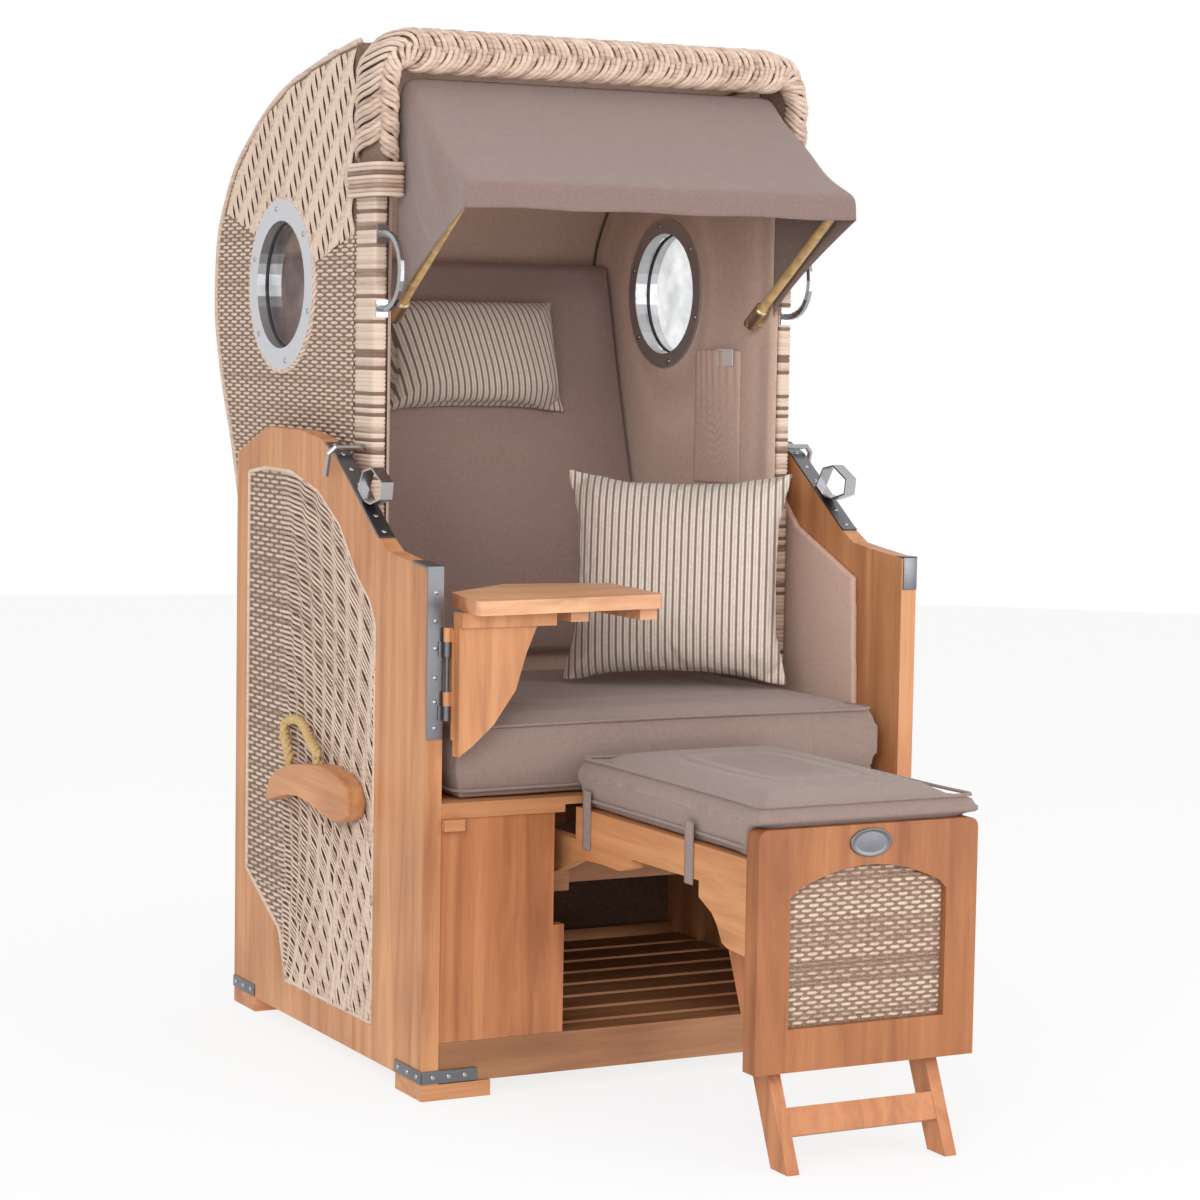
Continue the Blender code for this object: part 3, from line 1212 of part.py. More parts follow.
def build_footrest(rest):
    """Front frame with its woven panel, side boards, slats, cushion and the leg's axle."""
    stile_in = REST_HALF - REST_STILE_WIDTH
    sill = REST_BOTTOM + REST_SILL_HEIGHT
    frame = rounded(
        [(-REST_HALF, REST_BOTTOM), (REST_HALF, REST_BOTTOM), (REST_HALF, REST_TOP), (-REST_HALF, REST_TOP)],
        REST_CORNER, (2, 3),
    )
    shares = (0.908, 0.75, 0.5, 0.25, 0.0, -0.25, -0.5, -0.75, -0.908)
    arch = [
        (s * stile_in, REST_ARCH_TOP - (REST_ARCH_TOP - REST_ARCH_SIDE) * (s / shares[0]) ** 2)
        for s in shares
    ]
    opening = [
        (-stile_in, sill), (stile_in, sill), (stile_in, REST_ARCH_LOW), *arch, (-stile_in, REST_ARCH_LOW)
    ]
    front = -REST_REACH
    rest.add("footrest_frame", board([frame, opening], "xz", front, REST_PANEL_BACK), TEAK)
    middle = (front + REST_PANEL_BACK) / 2
    rest.add(
        "footrest_wicker",
        board(
            [inset(opening, GAP)], "xz", middle - REST_WICKER_THICK / 2, middle + REST_WICKER_THICK / 2
        ),
        RATTAN,
    )
    length = REST_TAIL_END - REST_RAIL_FRONT
    rail = [
        (REST_RAIL_FRONT + s * length, REST_RAIL_TOP - t * REST_RAIL_DROP) for s, t in REST_RAIL_SHARES
    ]
    for side, way in SIDES:
        rest.add(
            f"footrest_rail_{side}",
            board([rail], "yz", way * REST_RAIL_INNER, way * REST_HALF),
            TEAK,
        )
    inner = REST_RAIL_INNER - GAP
    deck_top = REST_RAIL_TOP - REST_SLAT_DROP
    deck_low = deck_top - SLAT_THICK
    deck_front = REST_RAIL_FRONT + REST_DECK_FRONT_SPACE
    deck_back = REST_RAIL_FRONT + REST_RAIL_SHARES[1][0] * length
    pieces = []
    for way in (-1, 1):
        pieces.append(
            box(
                (way * inner, deck_front, deck_low - REST_BATTEN_HEIGHT),
                (way * (inner - REST_BATTEN_WIDTH), deck_back, deck_low + OVERLAP),
            )
        )
    for start in spread(deck_front, deck_back, REST_SLAT_WIDTH, REST_SLAT_SPACE):
        pieces.append(box((-inner, start, deck_low), (inner, start + REST_SLAT_WIDTH, deck_top)))
    rest.add("footrest_slats", combined(pieces[-1], pieces[:-1]), TEAK_DARK)
    low = REST_RAIL_TOP + GAP
    back = -REST_PAD_BACK_SPACE
    behind = REST_RAIL_FRONT
    lip_low = REST_TOP + REST_PAD_LIP_CLEAR

    def rule(u, v, w):
        height = REST_PAD_HEIGHT
        z = low + (w + 1) / 2 * height
        if w < -0.25 and w > -0.75:
            z = lip_low
        elif abs(w) < 0.25:
            z = lip_low + REST_PAD_LIP_CLEAR
        rim_u = REST_PAD_EDGE * (abs(w) > 0.99) * (abs(u) > 0.99)
        rim_v = REST_PAD_EDGE * (abs(w) > 0.99) * (abs(v) > 0.99)
        start = behind - (REST_PAD_LIP if w > -0.25 else 0)
        y = start + (v + 1) / 2 * (back - start)
        x = u * REST_PAD_HALF * (1 - PAD_DRAW_SHARE * (1 - v * v)) - math.copysign(rim_u, u)
        y -= math.copysign(rim_v, v)
        if w > 0:
            z += w * (REST_PAD_CROWN * swell(u, v) - max(rim_u, rim_v) / 2)
        return x, y, z

    rest.add("footrest_cushion", shaped(block(6, 8, 4), rule), PAD_CLOTH, True)
    pivot = (LEG_PIVOT_Y, LEG_PIVOT_HEIGHT)
    rest.add("leg_axle", rod((-inner, *pivot), (inner, *pivot), LEG_AXLE_RADIUS, 16), STEEL, True)


def build_leg(leg):
    """Folding leg: two boards and a cross bar, standing on the floor and leaning forward."""
    along = Vector((math.sin(LEG_LEAN), math.cos(LEG_LEAN)))
    across = Vector((math.cos(LEG_LEAN), -math.sin(LEG_LEAN)))
    pivot = Vector((LEG_PIVOT_Y, LEG_PIVOT_HEIGHT))
    half = LEG_WIDTH / 2
    top = [
        tuple(pivot + across * half * math.cos(a) + along * half * math.sin(a))
        for a in (math.pi * k / 8 for k in range(9))
    ]
    outline = [(LEG_FOOT_FRONT, 0), (-LEG_FOOT_REACH + LEG_FOOT_HALF, 0), *top]
    hole = circle(pivot, LEG_AXLE_RADIUS + GAP, 16)
    boards = [
        board([outline, hole], "yz", way * LEG_HALF, way * (LEG_HALF - LEG_BOARD_THICK))
        for way in (-1, 1)
    ]
    centre = Vector((-LEG_FOOT_REACH, 0)) + along * LEG_BAR_RISE
    out = -half + OVERLAP
    near = out + LEG_BAR_THICK
    rise = LEG_BAR_HEIGHT / 2
    bar = [
        tuple(centre + across * a + along * b)
        for a, b in ((out, -rise), (near, -rise), (near, rise), (out, rise))
    ]
    reach = LEG_HALF - LEG_BOARD_THICK + OVERLAP
    leg.add("prop_leg", combined(boards[0], [board([bar], "yz", -reach, reach), boards[1]]), TEAK)


def build_handles(base):
    """Carrying grips on rope loops, one on each wall."""
    face = HALF_WIDTH - WICKER_INSET
    inner = HALF_WIDTH + GRIP_SPACE
    out = max(p[0] for p in ROPE_POINTS)
    outline = [
        (GRIP_FRONT + s * GRIP_LENGTH, GRIP_BOTTOM + t * GRIP_HEIGHT) for s, t in GRIP_SHARES
    ]
    top = max(ROPE_POINTS, key=lambda p: p[2])
    for side, way in SIDES:
        height = top[2] + ROPE_RADIUS / 4
        swing = Body(f"carry_swing_{side}", (way * (face + top[0]), top[1], height), base)
        grip = board([outline], "yz", way * inner, way * (inner + GRIP_THICK))
        bevel = {"width": GRIP_ROUND, "segments": 2, "limit_method": "ANGLE", "angle_limit": math.radians(50)}
        grip = modified(grip, ("BEVEL", bevel))
        holes = [
            rod(
                (way * (face + out), y, GRIP_BOTTOM - OVERRUN),
                (way * (face + out), y, GRIP_BOTTOM + GRIP_HEIGHT + OVERRUN),
                ROPE_RADIUS + ROPE_HOLE_CLEAR, 16,
            )
            for y in (ROPE_POINTS[0][1], ROPE_POINTS[-1][1])
        ]
        swing.add(f"carry_grip_{side}", combined(grip, holes, "DIFFERENCE"), TEAK, True)
        route = smooth_line([(way * (face + x), y, z) for x, y, z in ROPE_POINTS], 3)
        swing.add(f"carry_rope_{side}", tube(route, ROPE_RADIUS, 2), ROPE, True)


def build_catches(base, hood):
    """Steel band levers on the racks, and the bent lock rods on the hood."""
    top = wall_top_line()
    steepest = max(math.atan2(z1 - z0, y1 - y0) for (y0, z0), (y1, z1) in zip(top, top[1:]))
    clear = (RACK_THICK + 2 * GAP) / math.cos(steepest)
    seat = height_at(top, LEVER_BACK) + clear
    rod_z = height_at(top, ROD_Y) + ROD_ABOVE_WALL
    depths = [LEVER_BACK + s * LEVER_LENGTH for s, _ in LEVER_SHARES]
    outline = [
        (y, height_at(top, y) + clear + t * LEVER_HEIGHT) for y, (_, t) in zip(depths, LEVER_SHARES)
    ]
    middle = HALF_WIDTH - WALL_THICK / 2
    for side, way in SIDES:
        lever = Body(f"catch_pivot_{side}", (way * middle, LEVER_BACK, seat), base)
        lever.add(
            f"catch_lever_{side}",
            board(
                [outline, inset(outline, LEVER_BAND)], "yz",
                way * (middle - LEVER_WIDTH / 2), way * (middle + LEVER_WIDTH / 2),
            ),
            STEEL,
        )
        start = HOOD_HALF + GAP
        end = HOOD_HALF + ROD_OUT
        path = [
            (way * start, ROD_Y, rod_z), (way * (end - ROD_BEND), ROD_Y, rod_z),
            (way * end, ROD_Y + ROD_SLANT / 4, rod_z - ROD_BEND),
            (way * end, ROD_Y + ROD_SLANT, rod_z - ROD_DROP),
        ]
        bolt = Body(f"lock_pivot_{side}", (way * HOOD_HALF, ROD_Y, rod_z), hood)
        bolt.add(f"lock_rod_{side}", tube(path, ROD_RADIUS, 2), STEEL, True)


def main():
    """Clear the scene and build the chair."""
    for piece in list(bpy.data.objects):
        bpy.data.objects.remove(piece)
    new_collection("hooded_beach_chair")
    cutters = new_collection("cutters")
    cutters.hide_render = True
    base = Body("chair", (0, 0, 0))
    hood = Body("hood_tilt", (0, HOOD_PIVOT_Y, HOOD_PIVOT_Z), base)
    awning = Body("awning_fold", (0, AWNING_PIVOT_Y, AWNING_PIVOT_Z), hood)
    tray = Body("tray_swing", (-TRAY_PIN_X, -TRAY_PIN_REACH, TRAY_TOP), base)
    rest = Body("footrest_slide", (0, -REST_REACH, REST_BOTTOM), base)
    leg = Body("leg_fold", (0, LEG_PIVOT_Y, LEG_PIVOT_HEIGHT), rest)
    build_walls(base)
    build_base(base)
    build_cushions(base)
    build_hood(hood)
    axle = LINING_FACE - GAP
    pivot = (HOOD_PIVOT_Y, HOOD_PIVOT_Z)
    base.add("hood_axle", rod((-axle, *pivot), (axle, *pivot), HOOD_AXLE_RADIUS, 20), STEEL, True)
    build_awning(hood, awning)
    build_tray(base, tray)
    build_footrest(rest)
    build_leg(leg)
    build_handles(base)
    build_catches(base, hood)
    base.holder.location = (0, -ORIGIN_Y, 0)


main()
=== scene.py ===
"""Looks of a hooded beach chair for one person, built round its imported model.

The strands, the braid and the wound posts are real tubes worked out as whole arrays. The cushions and
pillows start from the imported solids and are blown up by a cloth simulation. Lengths are metres.
"""

import logging
import math
from dataclasses import dataclass, field
from enum import Enum
from typing import Callable, Sequence

import bmesh
import bpy
import numpy as np
from mathutils import Matrix, Vector


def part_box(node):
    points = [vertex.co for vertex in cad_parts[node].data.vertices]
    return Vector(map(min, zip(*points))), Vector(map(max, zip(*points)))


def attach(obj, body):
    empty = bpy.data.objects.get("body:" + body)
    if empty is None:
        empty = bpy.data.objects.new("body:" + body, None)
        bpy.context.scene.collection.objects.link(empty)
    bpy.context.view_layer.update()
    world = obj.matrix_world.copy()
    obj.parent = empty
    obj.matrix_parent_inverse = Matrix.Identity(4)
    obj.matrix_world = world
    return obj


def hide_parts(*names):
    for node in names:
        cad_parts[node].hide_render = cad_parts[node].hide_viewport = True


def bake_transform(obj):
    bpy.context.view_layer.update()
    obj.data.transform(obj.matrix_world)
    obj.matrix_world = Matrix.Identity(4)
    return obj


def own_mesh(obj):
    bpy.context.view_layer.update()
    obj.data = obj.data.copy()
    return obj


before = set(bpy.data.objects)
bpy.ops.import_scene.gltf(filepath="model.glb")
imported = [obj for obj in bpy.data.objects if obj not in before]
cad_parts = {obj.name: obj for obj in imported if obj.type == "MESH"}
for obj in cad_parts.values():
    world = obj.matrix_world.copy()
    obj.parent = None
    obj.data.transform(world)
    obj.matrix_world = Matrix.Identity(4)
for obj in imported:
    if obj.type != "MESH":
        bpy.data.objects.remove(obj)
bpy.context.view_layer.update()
LOG = logging.getLogger("beach_chair")

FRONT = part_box("side_frame_left")[0].y
SIDES = (("left", -1), ("right", 1))
Colour = tuple[float, float, float]
Field = Callable[..., np.ndarray]

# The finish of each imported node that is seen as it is; a star stands for left and right.
NODE_FINISHES = {
    "teak_upright": ("side_frame_*", "tray_support"),
    "teak_level": ("foot_front_*", "foot_rear_*", "seat_rail", "footrest_slats"),
    "teak_deep": ("footrest_rail_*", "carry_grip_*"),
    # The floor, seat slats and runners get a darker copy of the level teak: painted shade under the seat and
    # footrest.
    "teak_floor": ("base_floor", "footrest_runners", "seat_slats"),
    # The front panels and prop leg get a darker teak: painted shade from the footrest in front of and over
    # them.
    "teak_front": ("front_panel_*", "prop_leg"),
    # The footrest frame gets a darker teak: painted shade that offsets the strong key light on its front.
    "teak_footrest": ("footrest_frame",),
    "teak_tray": ("tray_top",),
    # The woven nodes under the strands are dark brown: painted shade for the gaps between and behind the
    # strands.
    "strand_back": ("side_wicker_*", "back_panel", "hood_side_*", "hood_shell", "footrest_wicker"),
    "steel": ("catch_lever_*", "lock_rod_*", "grab_bow_*"),
    "dark_steel": ("lock_strip_*", "tray_hinge", "hood_axle", "leg_axle"),
    "ring_steel": ("porthole_ring_*",),
    "pane": ("porthole_pane_*",),
    "turned_wood": ("awning_arm_*", "awning_bar"),
}


class Axis(Enum):
    """An axis of the chair's frame, as an index."""

    X = 0
    Y = 1
    Z = 2


def distances(line: np.ndarray) -> np.ndarray:
    """How far each point of a line is from its start, along the line."""
    return np.concatenate([[0], np.cumsum(np.linalg.norm(np.diff(line, axis=0), axis=1))])


def smooth_path(points: Sequence[Sequence[float]], count: int) -> np.ndarray:
    """A rounded line: a Catmull-Rom curve through the points, spaced evenly along its length.

    Args:
        points: the places that the line passes through.
        count: how many points come back.

    Returns:
        An array of count places.
    """
    knots = np.array(points, float)
    padded = np.vstack([knots[:1], knots, knots[-1:]])
    t = np.linspace(0, 1, 12, endpoint=False)[:, None]
    spans = np.arange(len(knots) - 1)
    a, b, c, d = (padded[spans + k][:, None, :] for k in range(4))
    line = ((2 * b) + (c - a) * t + (2 * a - 5 * b + 4 * c - d) * t**2 + (3 * b - a - 3 * c + d) * t**3) / 2
    line = np.vstack([line.reshape(-1, knots.shape[1]), knots[-1:]])
    run = distances(line)
    even = np.linspace(0, run[-1], count)
    return np.stack([np.interp(even, run, line[:, k]) for k in range(knots.shape[1])], axis=1)


def unit(vectors: np.ndarray) -> np.ndarray:
    """Vectors divided by their own length."""
    return vectors / np.maximum(np.linalg.norm(vectors, axis=-1, keepdims=True), 1e-12)


def from_front(x: np.ndarray | float, y: np.ndarray | float, z: np.ndarray | float) -> np.ndarray:
    """Places by width, depth behind the chair's front, and height."""
    return np.stack(np.broadcast_arrays(x, y + FRONT, z), axis=-1)


def toward(direction: Sequence[float], like: np.ndarray) -> np.ndarray:
    """One direction for each entry of an array."""
    return np.broadcast_to(np.array(direction, float), (*like.shape, 3))


def vertex_values(mesh: bpy.types.Mesh, name: str) -> np.ndarray:
    """A mesh's vertex places (co) or directions (normal), one row each."""
    values = np.empty(len(mesh.vertices) * 3, np.float32)
    mesh.vertices.foreach_get(name, values)
    return values.reshape(-1, 3)


def placed(name: str, data: bpy.types.ID) -> bpy.types.Object:
    """A new object of that data, in the scene."""
    made = bpy.data.objects.new(name, data)
    bpy.context.scene.collection.objects.link(made)
    return made


def new_object(name: str, points: np.ndarray, faces: np.ndarray, smooth: bool = True) -> bpy.types.Object:
    """Put a mesh into the scene.

    Args:
        name: the piece's name.
        points: its vertices.
        faces: its faces, as rows of vertex numbers.
        smooth: whether it is shaded smooth.

    Returns:
        The new object, at the origin.
    """
    mesh = bpy.data.meshes.new(name)
    mesh.from_pydata(points.reshape(-1, 3).tolist(), [], faces.tolist())
    if smooth:
        mesh.shade_smooth()
    return placed(name, mesh)


def outward(piece: bpy.types.Object) -> bpy.types.Object:
    """Merge a piece's doubles and turn its faces outwards."""
    work = bmesh.new()
    work.from_mesh(piece.data)
    bmesh.ops.remove_doubles(work, verts=work.verts, dist=1e-6)
    bmesh.ops.recalc_face_normals(work, faces=work.faces)
    work.to_mesh(piece.data)
    work.free()
    return piece


def grid_faces(rows: int, columns: int, around: bool = False) -> np.ndarray:
    """Quads of a grid of points, row by row; around joins the last column to the first."""
    i, j = np.meshgrid(np.arange(rows - 1), np.arange(columns if around else columns - 1), indexing="ij")
    ahead = (j + 1) % columns
    return np.stack(
        [i * columns + j, i * columns + ahead, (i + 1) * columns + ahead, (i + 1) * columns + j], axis=-1
    ).reshape(-1, 4)


def tubes(
    name: str, paths: np.ndarray, wide: float, thick: float, out: np.ndarray, sides: int = 4,
    tones: np.ndarray | None = None,
) -> bpy.types.Object:
    """Many strands as one piece: an oval section carried along each path.

    A section's point is the path's point plus wide times cos along the side direction, plus thick
    times sin along the outward direction.

    Args:
        name: the piece's name.
        paths: strands by points by three.
        wide: half the strand's width along the surface.
        thick: half its thickness out of the surface.
        out: the outward direction, for all points or for each.
        sides: corners of the section.
        tones: one shade number for each strand.

    Returns:
        The piece, with its shades in the attribute called tone.
    """
    strands, length, _ = paths.shape
    along = unit(np.gradient(paths, axis=1))
    outer = np.broadcast_to(out, paths.shape)
    across = unit(np.cross(along, outer))
    outer = unit(np.cross(across, along))
    angle = np.linspace(0, math.tau, sides, endpoint=False)
    ring = (
        paths[:, :, None, :]
        + across[:, :, None, :] * (wide * np.cos(angle))[None, None, :, None]
        + outer[:, :, None, :] * (thick * np.sin(angle))[None, None, :, None]
    )
    single = grid_faces(length, sides, around=True)
    caps = np.array([list(range(sides))[::-1], [(length - 1) * sides + k for k in range(sides)]])
    starts = (np.arange(strands) * length * sides)[:, None, None]
    faces = (single[None] + starts).reshape(-1, 4).tolist()
    faces += (caps[None] + starts).reshape(-1, sides).tolist()
    mesh = bpy.data.meshes.new(name)
    mesh.from_pydata(ring.reshape(-1, 3).tolist(), [], faces)
    mesh.shade_smooth()
    made = placed(name, mesh)
    shade = np.repeat(tones if tones is not None else np.full(strands, 0.5), length * sides)
    mesh.attributes.new("tone", "FLOAT", "POINT").data.foreach_set("value", shade.astype(np.float32))
    return outward(made)


def rounded_block(name: str, low: Sequence[float], high: Sequence[float], radius: float) -> bpy.types.Object:
    """A block with round edges: a small ball swept over a smaller box.

    Args:
        name: the piece's name.
        low: its lowest corner.
        high: its highest corner.
        radius: the rounding of its edges.

    Returns:
        The piece.
    """
    low_point, high_point = np.minimum(low, high), np.maximum(low, high)
    rows, columns = 14, 24
    u = np.linspace(0, math.tau, columns, endpoint=False) + math.pi / columns
    v = np.linspace(0, math.pi, rows)[:, None]
    ball = np.stack([np.sin(v) * np.cos(u), np.sin(v) * np.sin(u), np.cos(v) * np.ones_like(u)], axis=-1)
    half = (high_point - low_point) / 2 - radius
    points = (low_point + high_point) / 2 + np.clip(ball * 1e6, -half, half) + ball * radius
    return outward(new_object(name, points, grid_faces(rows, columns, around=True), smooth=False))


def joined(name: str, pieces: Sequence[bpy.types.Object]) -> bpy.types.Object:
    """Several small pieces as one mesh."""
    points, faces, start = [], [], 0
    for piece in pieces:
        points += [tuple(v.co) for v in piece.data.vertices]
        faces += [tuple(start + k for k in face.vertices) for face in piece.data.polygons]
        start = len(points)
        bpy.data.objects.remove(piece)
    mesh = bpy.data.meshes.new(name)
    mesh.from_pydata(points, [], faces)
    made = placed(name, mesh)
    mesh.shade_smooth()
    mesh.set_sharp_from_angle(angle=math.radians(40))
    return made


def screw_heads(name: str, places: np.ndarray, out: Sequence[float], radius: float) -> bpy.types.Object:
    """Domed heads on a face: a quarter circle turned about each place's outward line.

    Args:
        name: the piece's name.
        places: where the heads sit.
        out: the outward direction, one for all or one each.
        radius: a head's radius.

    Returns:
        One piece with all the heads.
    """
    normal = unit(np.broadcast_to(np.array(out, float), places.shape))
    helper = np.where(np.abs(normal[:, :1]) > 0.9, [[0.0, 1.0, 0.0]], [[1.0, 0.0, 0.0]])
    first = unit(np.cross(normal, helper))
    second = np.cross(normal, first)
    rows, columns = 5, 12
    turn = np.linspace(0, math.tau, columns, endpoint=False)
    rise = np.linspace(0, math.pi / 2, rows)
    reach = radius * np.cos(rise)
    lift = radius * 0.5 * np.sin(rise)
    ring = (
        places[:, None, None, :]
        + (first[:, None, None] * np.cos(turn)[:, None] + second[:, None, None] * np.sin(turn)[:, None])
        * reach[:, None, None]
        + normal[:, None, None] * lift[:, None, None]
    )
    single = grid_faces(rows, columns, around=True)
    starts = (np.arange(len(places)) * rows * columns)[:, None, None]
    faces = (single[None] + starts).reshape(-1, 4)
    return outward(new_object(name, ring, faces))


class Value:
    """One number socket of a material, which takes part in sums like a number."""

    def __init__(self, shader: "Shader", socket: bpy.types.NodeSocket) -> None:
        """Wrap a socket of that shader."""
        self.shader = shader
        self.socket = socket

    def _math(self, operation: str, *values: "Value | float") -> "Value":
        """Add a Math node of that operation."""
        node = self.shader.node("ShaderNodeMath", {"operation": operation}, dict(enumerate(values)))
        return Value(self.shader, node.outputs[0])

    def __add__(self, other: "Value | float") -> "Value":
        """Sum."""
        return self._math("ADD", self, other)

    def __rsub__(self, other: float) -> "Value":
        """Difference from a number."""
        return self._math("SUBTRACT", other, self)

    def __mul__(self, other: "Value | float") -> "Value":
        """Product."""
        return self._math("MULTIPLY", self, other)

    def __truediv__(self, other: "Value | float") -> "Value":
        """Quotient."""
        return self._math("DIVIDE", self, other)

    __radd__ = __add__
    __rmul__ = __mul__

    def sin(self) -> "Value":
        """Sine."""
        return self._math("SINE", self)

    def fraction(self) -> "Value":
        """What is left after the whole number."""
        return self._math("FRACT", self)

    def step(self, start: float, end: float) -> "Value":
        """A smooth rise from zero to one between two numbers."""
        node = self.shader.node(
            "ShaderNodeMapRange", {"interpolation_type": "SMOOTHSTEP"},
            {"Value": self, "From Min": start, "From Max": end},
        )
        return Value(self.shader, node.outputs[0])


class Shader:
    """A material being built round one Principled shader."""

    def __init__(self, name: str) -> None:
        """Start a new material of that name."""
        self.material = bpy.data.materials.new(name)
        self.material.use_nodes = True
        self.tree = self.material.node_tree
        self.principled = self.tree.nodes["Principled BSDF"]
        place = self.node("ShaderNodeTexCoord", {}, {})
        self.place = place.outputs["Object"]
        split = self.node("ShaderNodeSeparateXYZ", {}, {0: self.place})
        self.x, self.y, self.z = (Value(self, split.outputs[k]) for k in range(3))

    def node(self, kind: str, settings: dict, values: dict) -> bpy.types.Node:
        """Add a node.

        Args:
            kind: its type.
            settings: its properties, set first; stops are a ramp's places and colours.
            values: what goes into its sockets, by name or number.

        Returns:
            The node.
        """
        made = self.tree.nodes.new(kind)
        for key, value in settings.items():
            if key == "stops":
                ramp = made.color_ramp.elements
                while len(ramp) < len(value):
                    ramp.new(0.5)
                for element, (position, colour) in zip(ramp, value):
                    element.position = position
                    element.color = (*colour, 1)
            else:
                setattr(made, key, value)
        for key, value in values.items():
            self.feed(made.inputs[key], value)
        return made

    def feed(self, socket: bpy.types.NodeSocket, value: object) -> None:
        """Link or set one socket."""
        if isinstance(value, Value):
            self.tree.links.new(value.socket, socket)
        elif isinstance(value, bpy.types.NodeSocket):
            self.tree.links.new(value, socket)
        else:
            socket.default_value = value

    def noise(
        self, scale: Sequence[float], detail: float = 3.0, rough: float = 0.55, warp: float = 0.0,
    ) -> Value:
        """A soft random value, stretched by one scale for each axis."""
        mapped = self.node("ShaderNodeMapping", {}, {"Vector": self.place, "Scale": tuple(scale)})
        made = self.node(
            "ShaderNodeTexNoise", {},
            {
                "Vector": mapped.outputs[0], "Scale": 1.0, "Detail": detail, "Roughness": rough,
                "Distortion": warp,
            },
        )
        return Value(self, made.outputs[0])

    def ramp(self, value: Value, stops: Sequence[tuple[float, Colour]]) -> bpy.types.NodeSocket:
        """Colours along a value."""
        return self.node("ShaderNodeValToRGB", {"stops": stops}, {0: value}).outputs[0]

    def mix(self, share: Value, first: object, second: object) -> bpy.types.NodeSocket:
        """A colour between two, by a share."""
        made = self.node("ShaderNodeMix", {"data_type": "RGBA"}, {0: share})
        for key, value in ((6, first), (7, second)):
            self.feed(made.inputs[key], (*value, 1) if isinstance(value, tuple) else value)
        return made.outputs[2]

    def finish(
        self, colour: object, roughness: object, bump: Value | None, depth: float, **fixed: float,
    ) -> bpy.types.Material:
        """Feed the shader.

        Args:
            colour: base colour.
            roughness: roughness.
            bump: height of the relief, or none.
            depth: the relief's depth in metres.
            fixed: numbers that are the same all over, by socket name.

        Returns:
            The material.
        """
        self.feed(self.principled.inputs["Base Color"], (*colour, 1) if isinstance(colour, tuple) else colour)
        self.feed(self.principled.inputs["Roughness"], roughness)
        if bump is not None:
            node = self.node("ShaderNodeBump", {}, {"Height": bump, "Strength": 1.0, "Distance": depth})
            self.feed(self.principled.inputs["Normal"], node.outputs[0])
        for key, value in fixed.items():
            self.principled.inputs[key.replace("_", " ")].default_value = value
        return self.material


@dataclass(frozen=True)
class Teak:
    """Oiled teak whose grain runs along one axis."""

    along: Axis
    dark: Colour = (0.34, 0.130, 0.048)
    middle: Colour = (0.52, 0.225, 0.092)
    light: Colour = (0.68, 0.335, 0.150)
    # Scales all three colours; below one it makes a darker copy that paints shade.
    shade: float = 1.0

    def build(self, name: str) -> bpy.types.Material:
        """Make the material: long streaks, fine pores and a slow change of tone."""
        shader = Shader(name)
        streak = [26.0, 26.0, 26.0]
        pore = [520.0, 520.0, 520.0]
        streak[self.along.value] = 1.6
        pore[self.along.value] = 16.0
        bands = shader.noise(streak, 4.0, 0.6, 0.8)
        pores = shader.noise(pore, 2.0)
        slow = shader.noise((5.0, 5.0, 5.0), 1.0)
        tone = bands * 0.72 + slow * 0.28
        colours = [tuple(c * self.shade for c in colour) for colour in (self.dark, self.middle, self.light)]
        base = shader.ramp(tone, [(0.30, colours[0]), (0.48, colours[1]), (0.68, colours[2])])
        flecked = shader.mix(pores.step(0.58, 0.72) * 0.35, base, colours[0])
        return shader.finish(flecked, 0.44 + pores * 0.16, bands * 0.3 + pores * 0.7, 0.0004)


@dataclass(frozen=True)
class Strand:
    """Woven strand: cream with brown streaks, each strand with its own tone."""

    cream: Colour = (0.70, 0.550, 0.440)
    pale: Colour = (0.58, 0.42, 0.330)
    brown: Colour = (0.31, 0.185, 0.130)
    streaks: float = 0.5

    def build(self, name: str) -> bpy.types.Material:
        """Make the material from the tone attribute and a streaky noise."""
        shader = Shader(name)
        attribute = shader.node("ShaderNodeAttribute", {"attribute_name": "tone"}, {})
        tone = Value(shader, attribute.outputs["Fac"])
        streak = shader.noise((55.0, 22.0, 240.0), 2.0)
        mixed = tone * (1 - self.streaks) + streak * self.streaks
        base = shader.ramp(mixed, [(0.26, self.brown), (0.44, self.pale), (0.60, self.cream)])
        return shader.finish(base, 0.52, shader.noise((900.0, 900.0, 900.0), 1.0), 0.0002)


@dataclass(frozen=True)
class Cloth:
    """Woven outdoor cloth with a fine basket weave."""

    colour: Colour
    pitch: float = 0.0011
    stripe: Colour | None = None
    stripe_along: tuple[float, float, float] = (1.0, 0.0, 0.0)
    stripe_pitch: float = 0.0118

    def build(self, name: str) -> bpy.types.Material:
        """Make the material: threads in two directions, a little mottling and, where wanted, stripes."""
        shader = Shader(name)
        turn = math.tau / self.pitch
        threads = (shader.x * turn).sin() * (shader.z * turn).sin() + (shader.y * turn).sin() * 0.6
        mottle = shader.noise((190.0, 190.0, 190.0), 3.0)
        dark = tuple(c * 0.93 for c in self.colour)
        light = tuple(min(1.0, c * 1.06) for c in self.colour)
        base = shader.ramp(mottle, [(0.35, dark), (0.65, light)])
        if self.stripe is not None:
            a, b, c = self.stripe_along
            run = shader.x * a + shader.y * b + shader.z * c
            place = (run / self.stripe_pitch).fraction()
            band = place.step(0.30, 0.34) * (1 - place.step(0.62, 0.66))
            line = place.step(0.90, 0.93)
            base = shader.mix(band + line * 0.5, base, self.stripe)
        wrinkle = shader.noise((16.0, 16.0, 16.0), 3.0, 0.5, 0.6)
        return shader.finish(base, 0.92, threads * 0.05 + wrinkle, 0.0035, Sheen_Weight=0.25)


@dataclass(frozen=True)
class Metal:
    """Polished steel with faint rubbing marks."""

    colour: Colour
    roughness: float

    def build(self, name: str) -> bpy.types.Material:
        """Make the material."""
        shader = Shader(name)
        rub = shader.noise((60.0, 60.0, 900.0), 2.0)
        return shader.finish(self.colour, self.roughness + rub * 0.14, rub, 0.00005, Metallic=1.0)


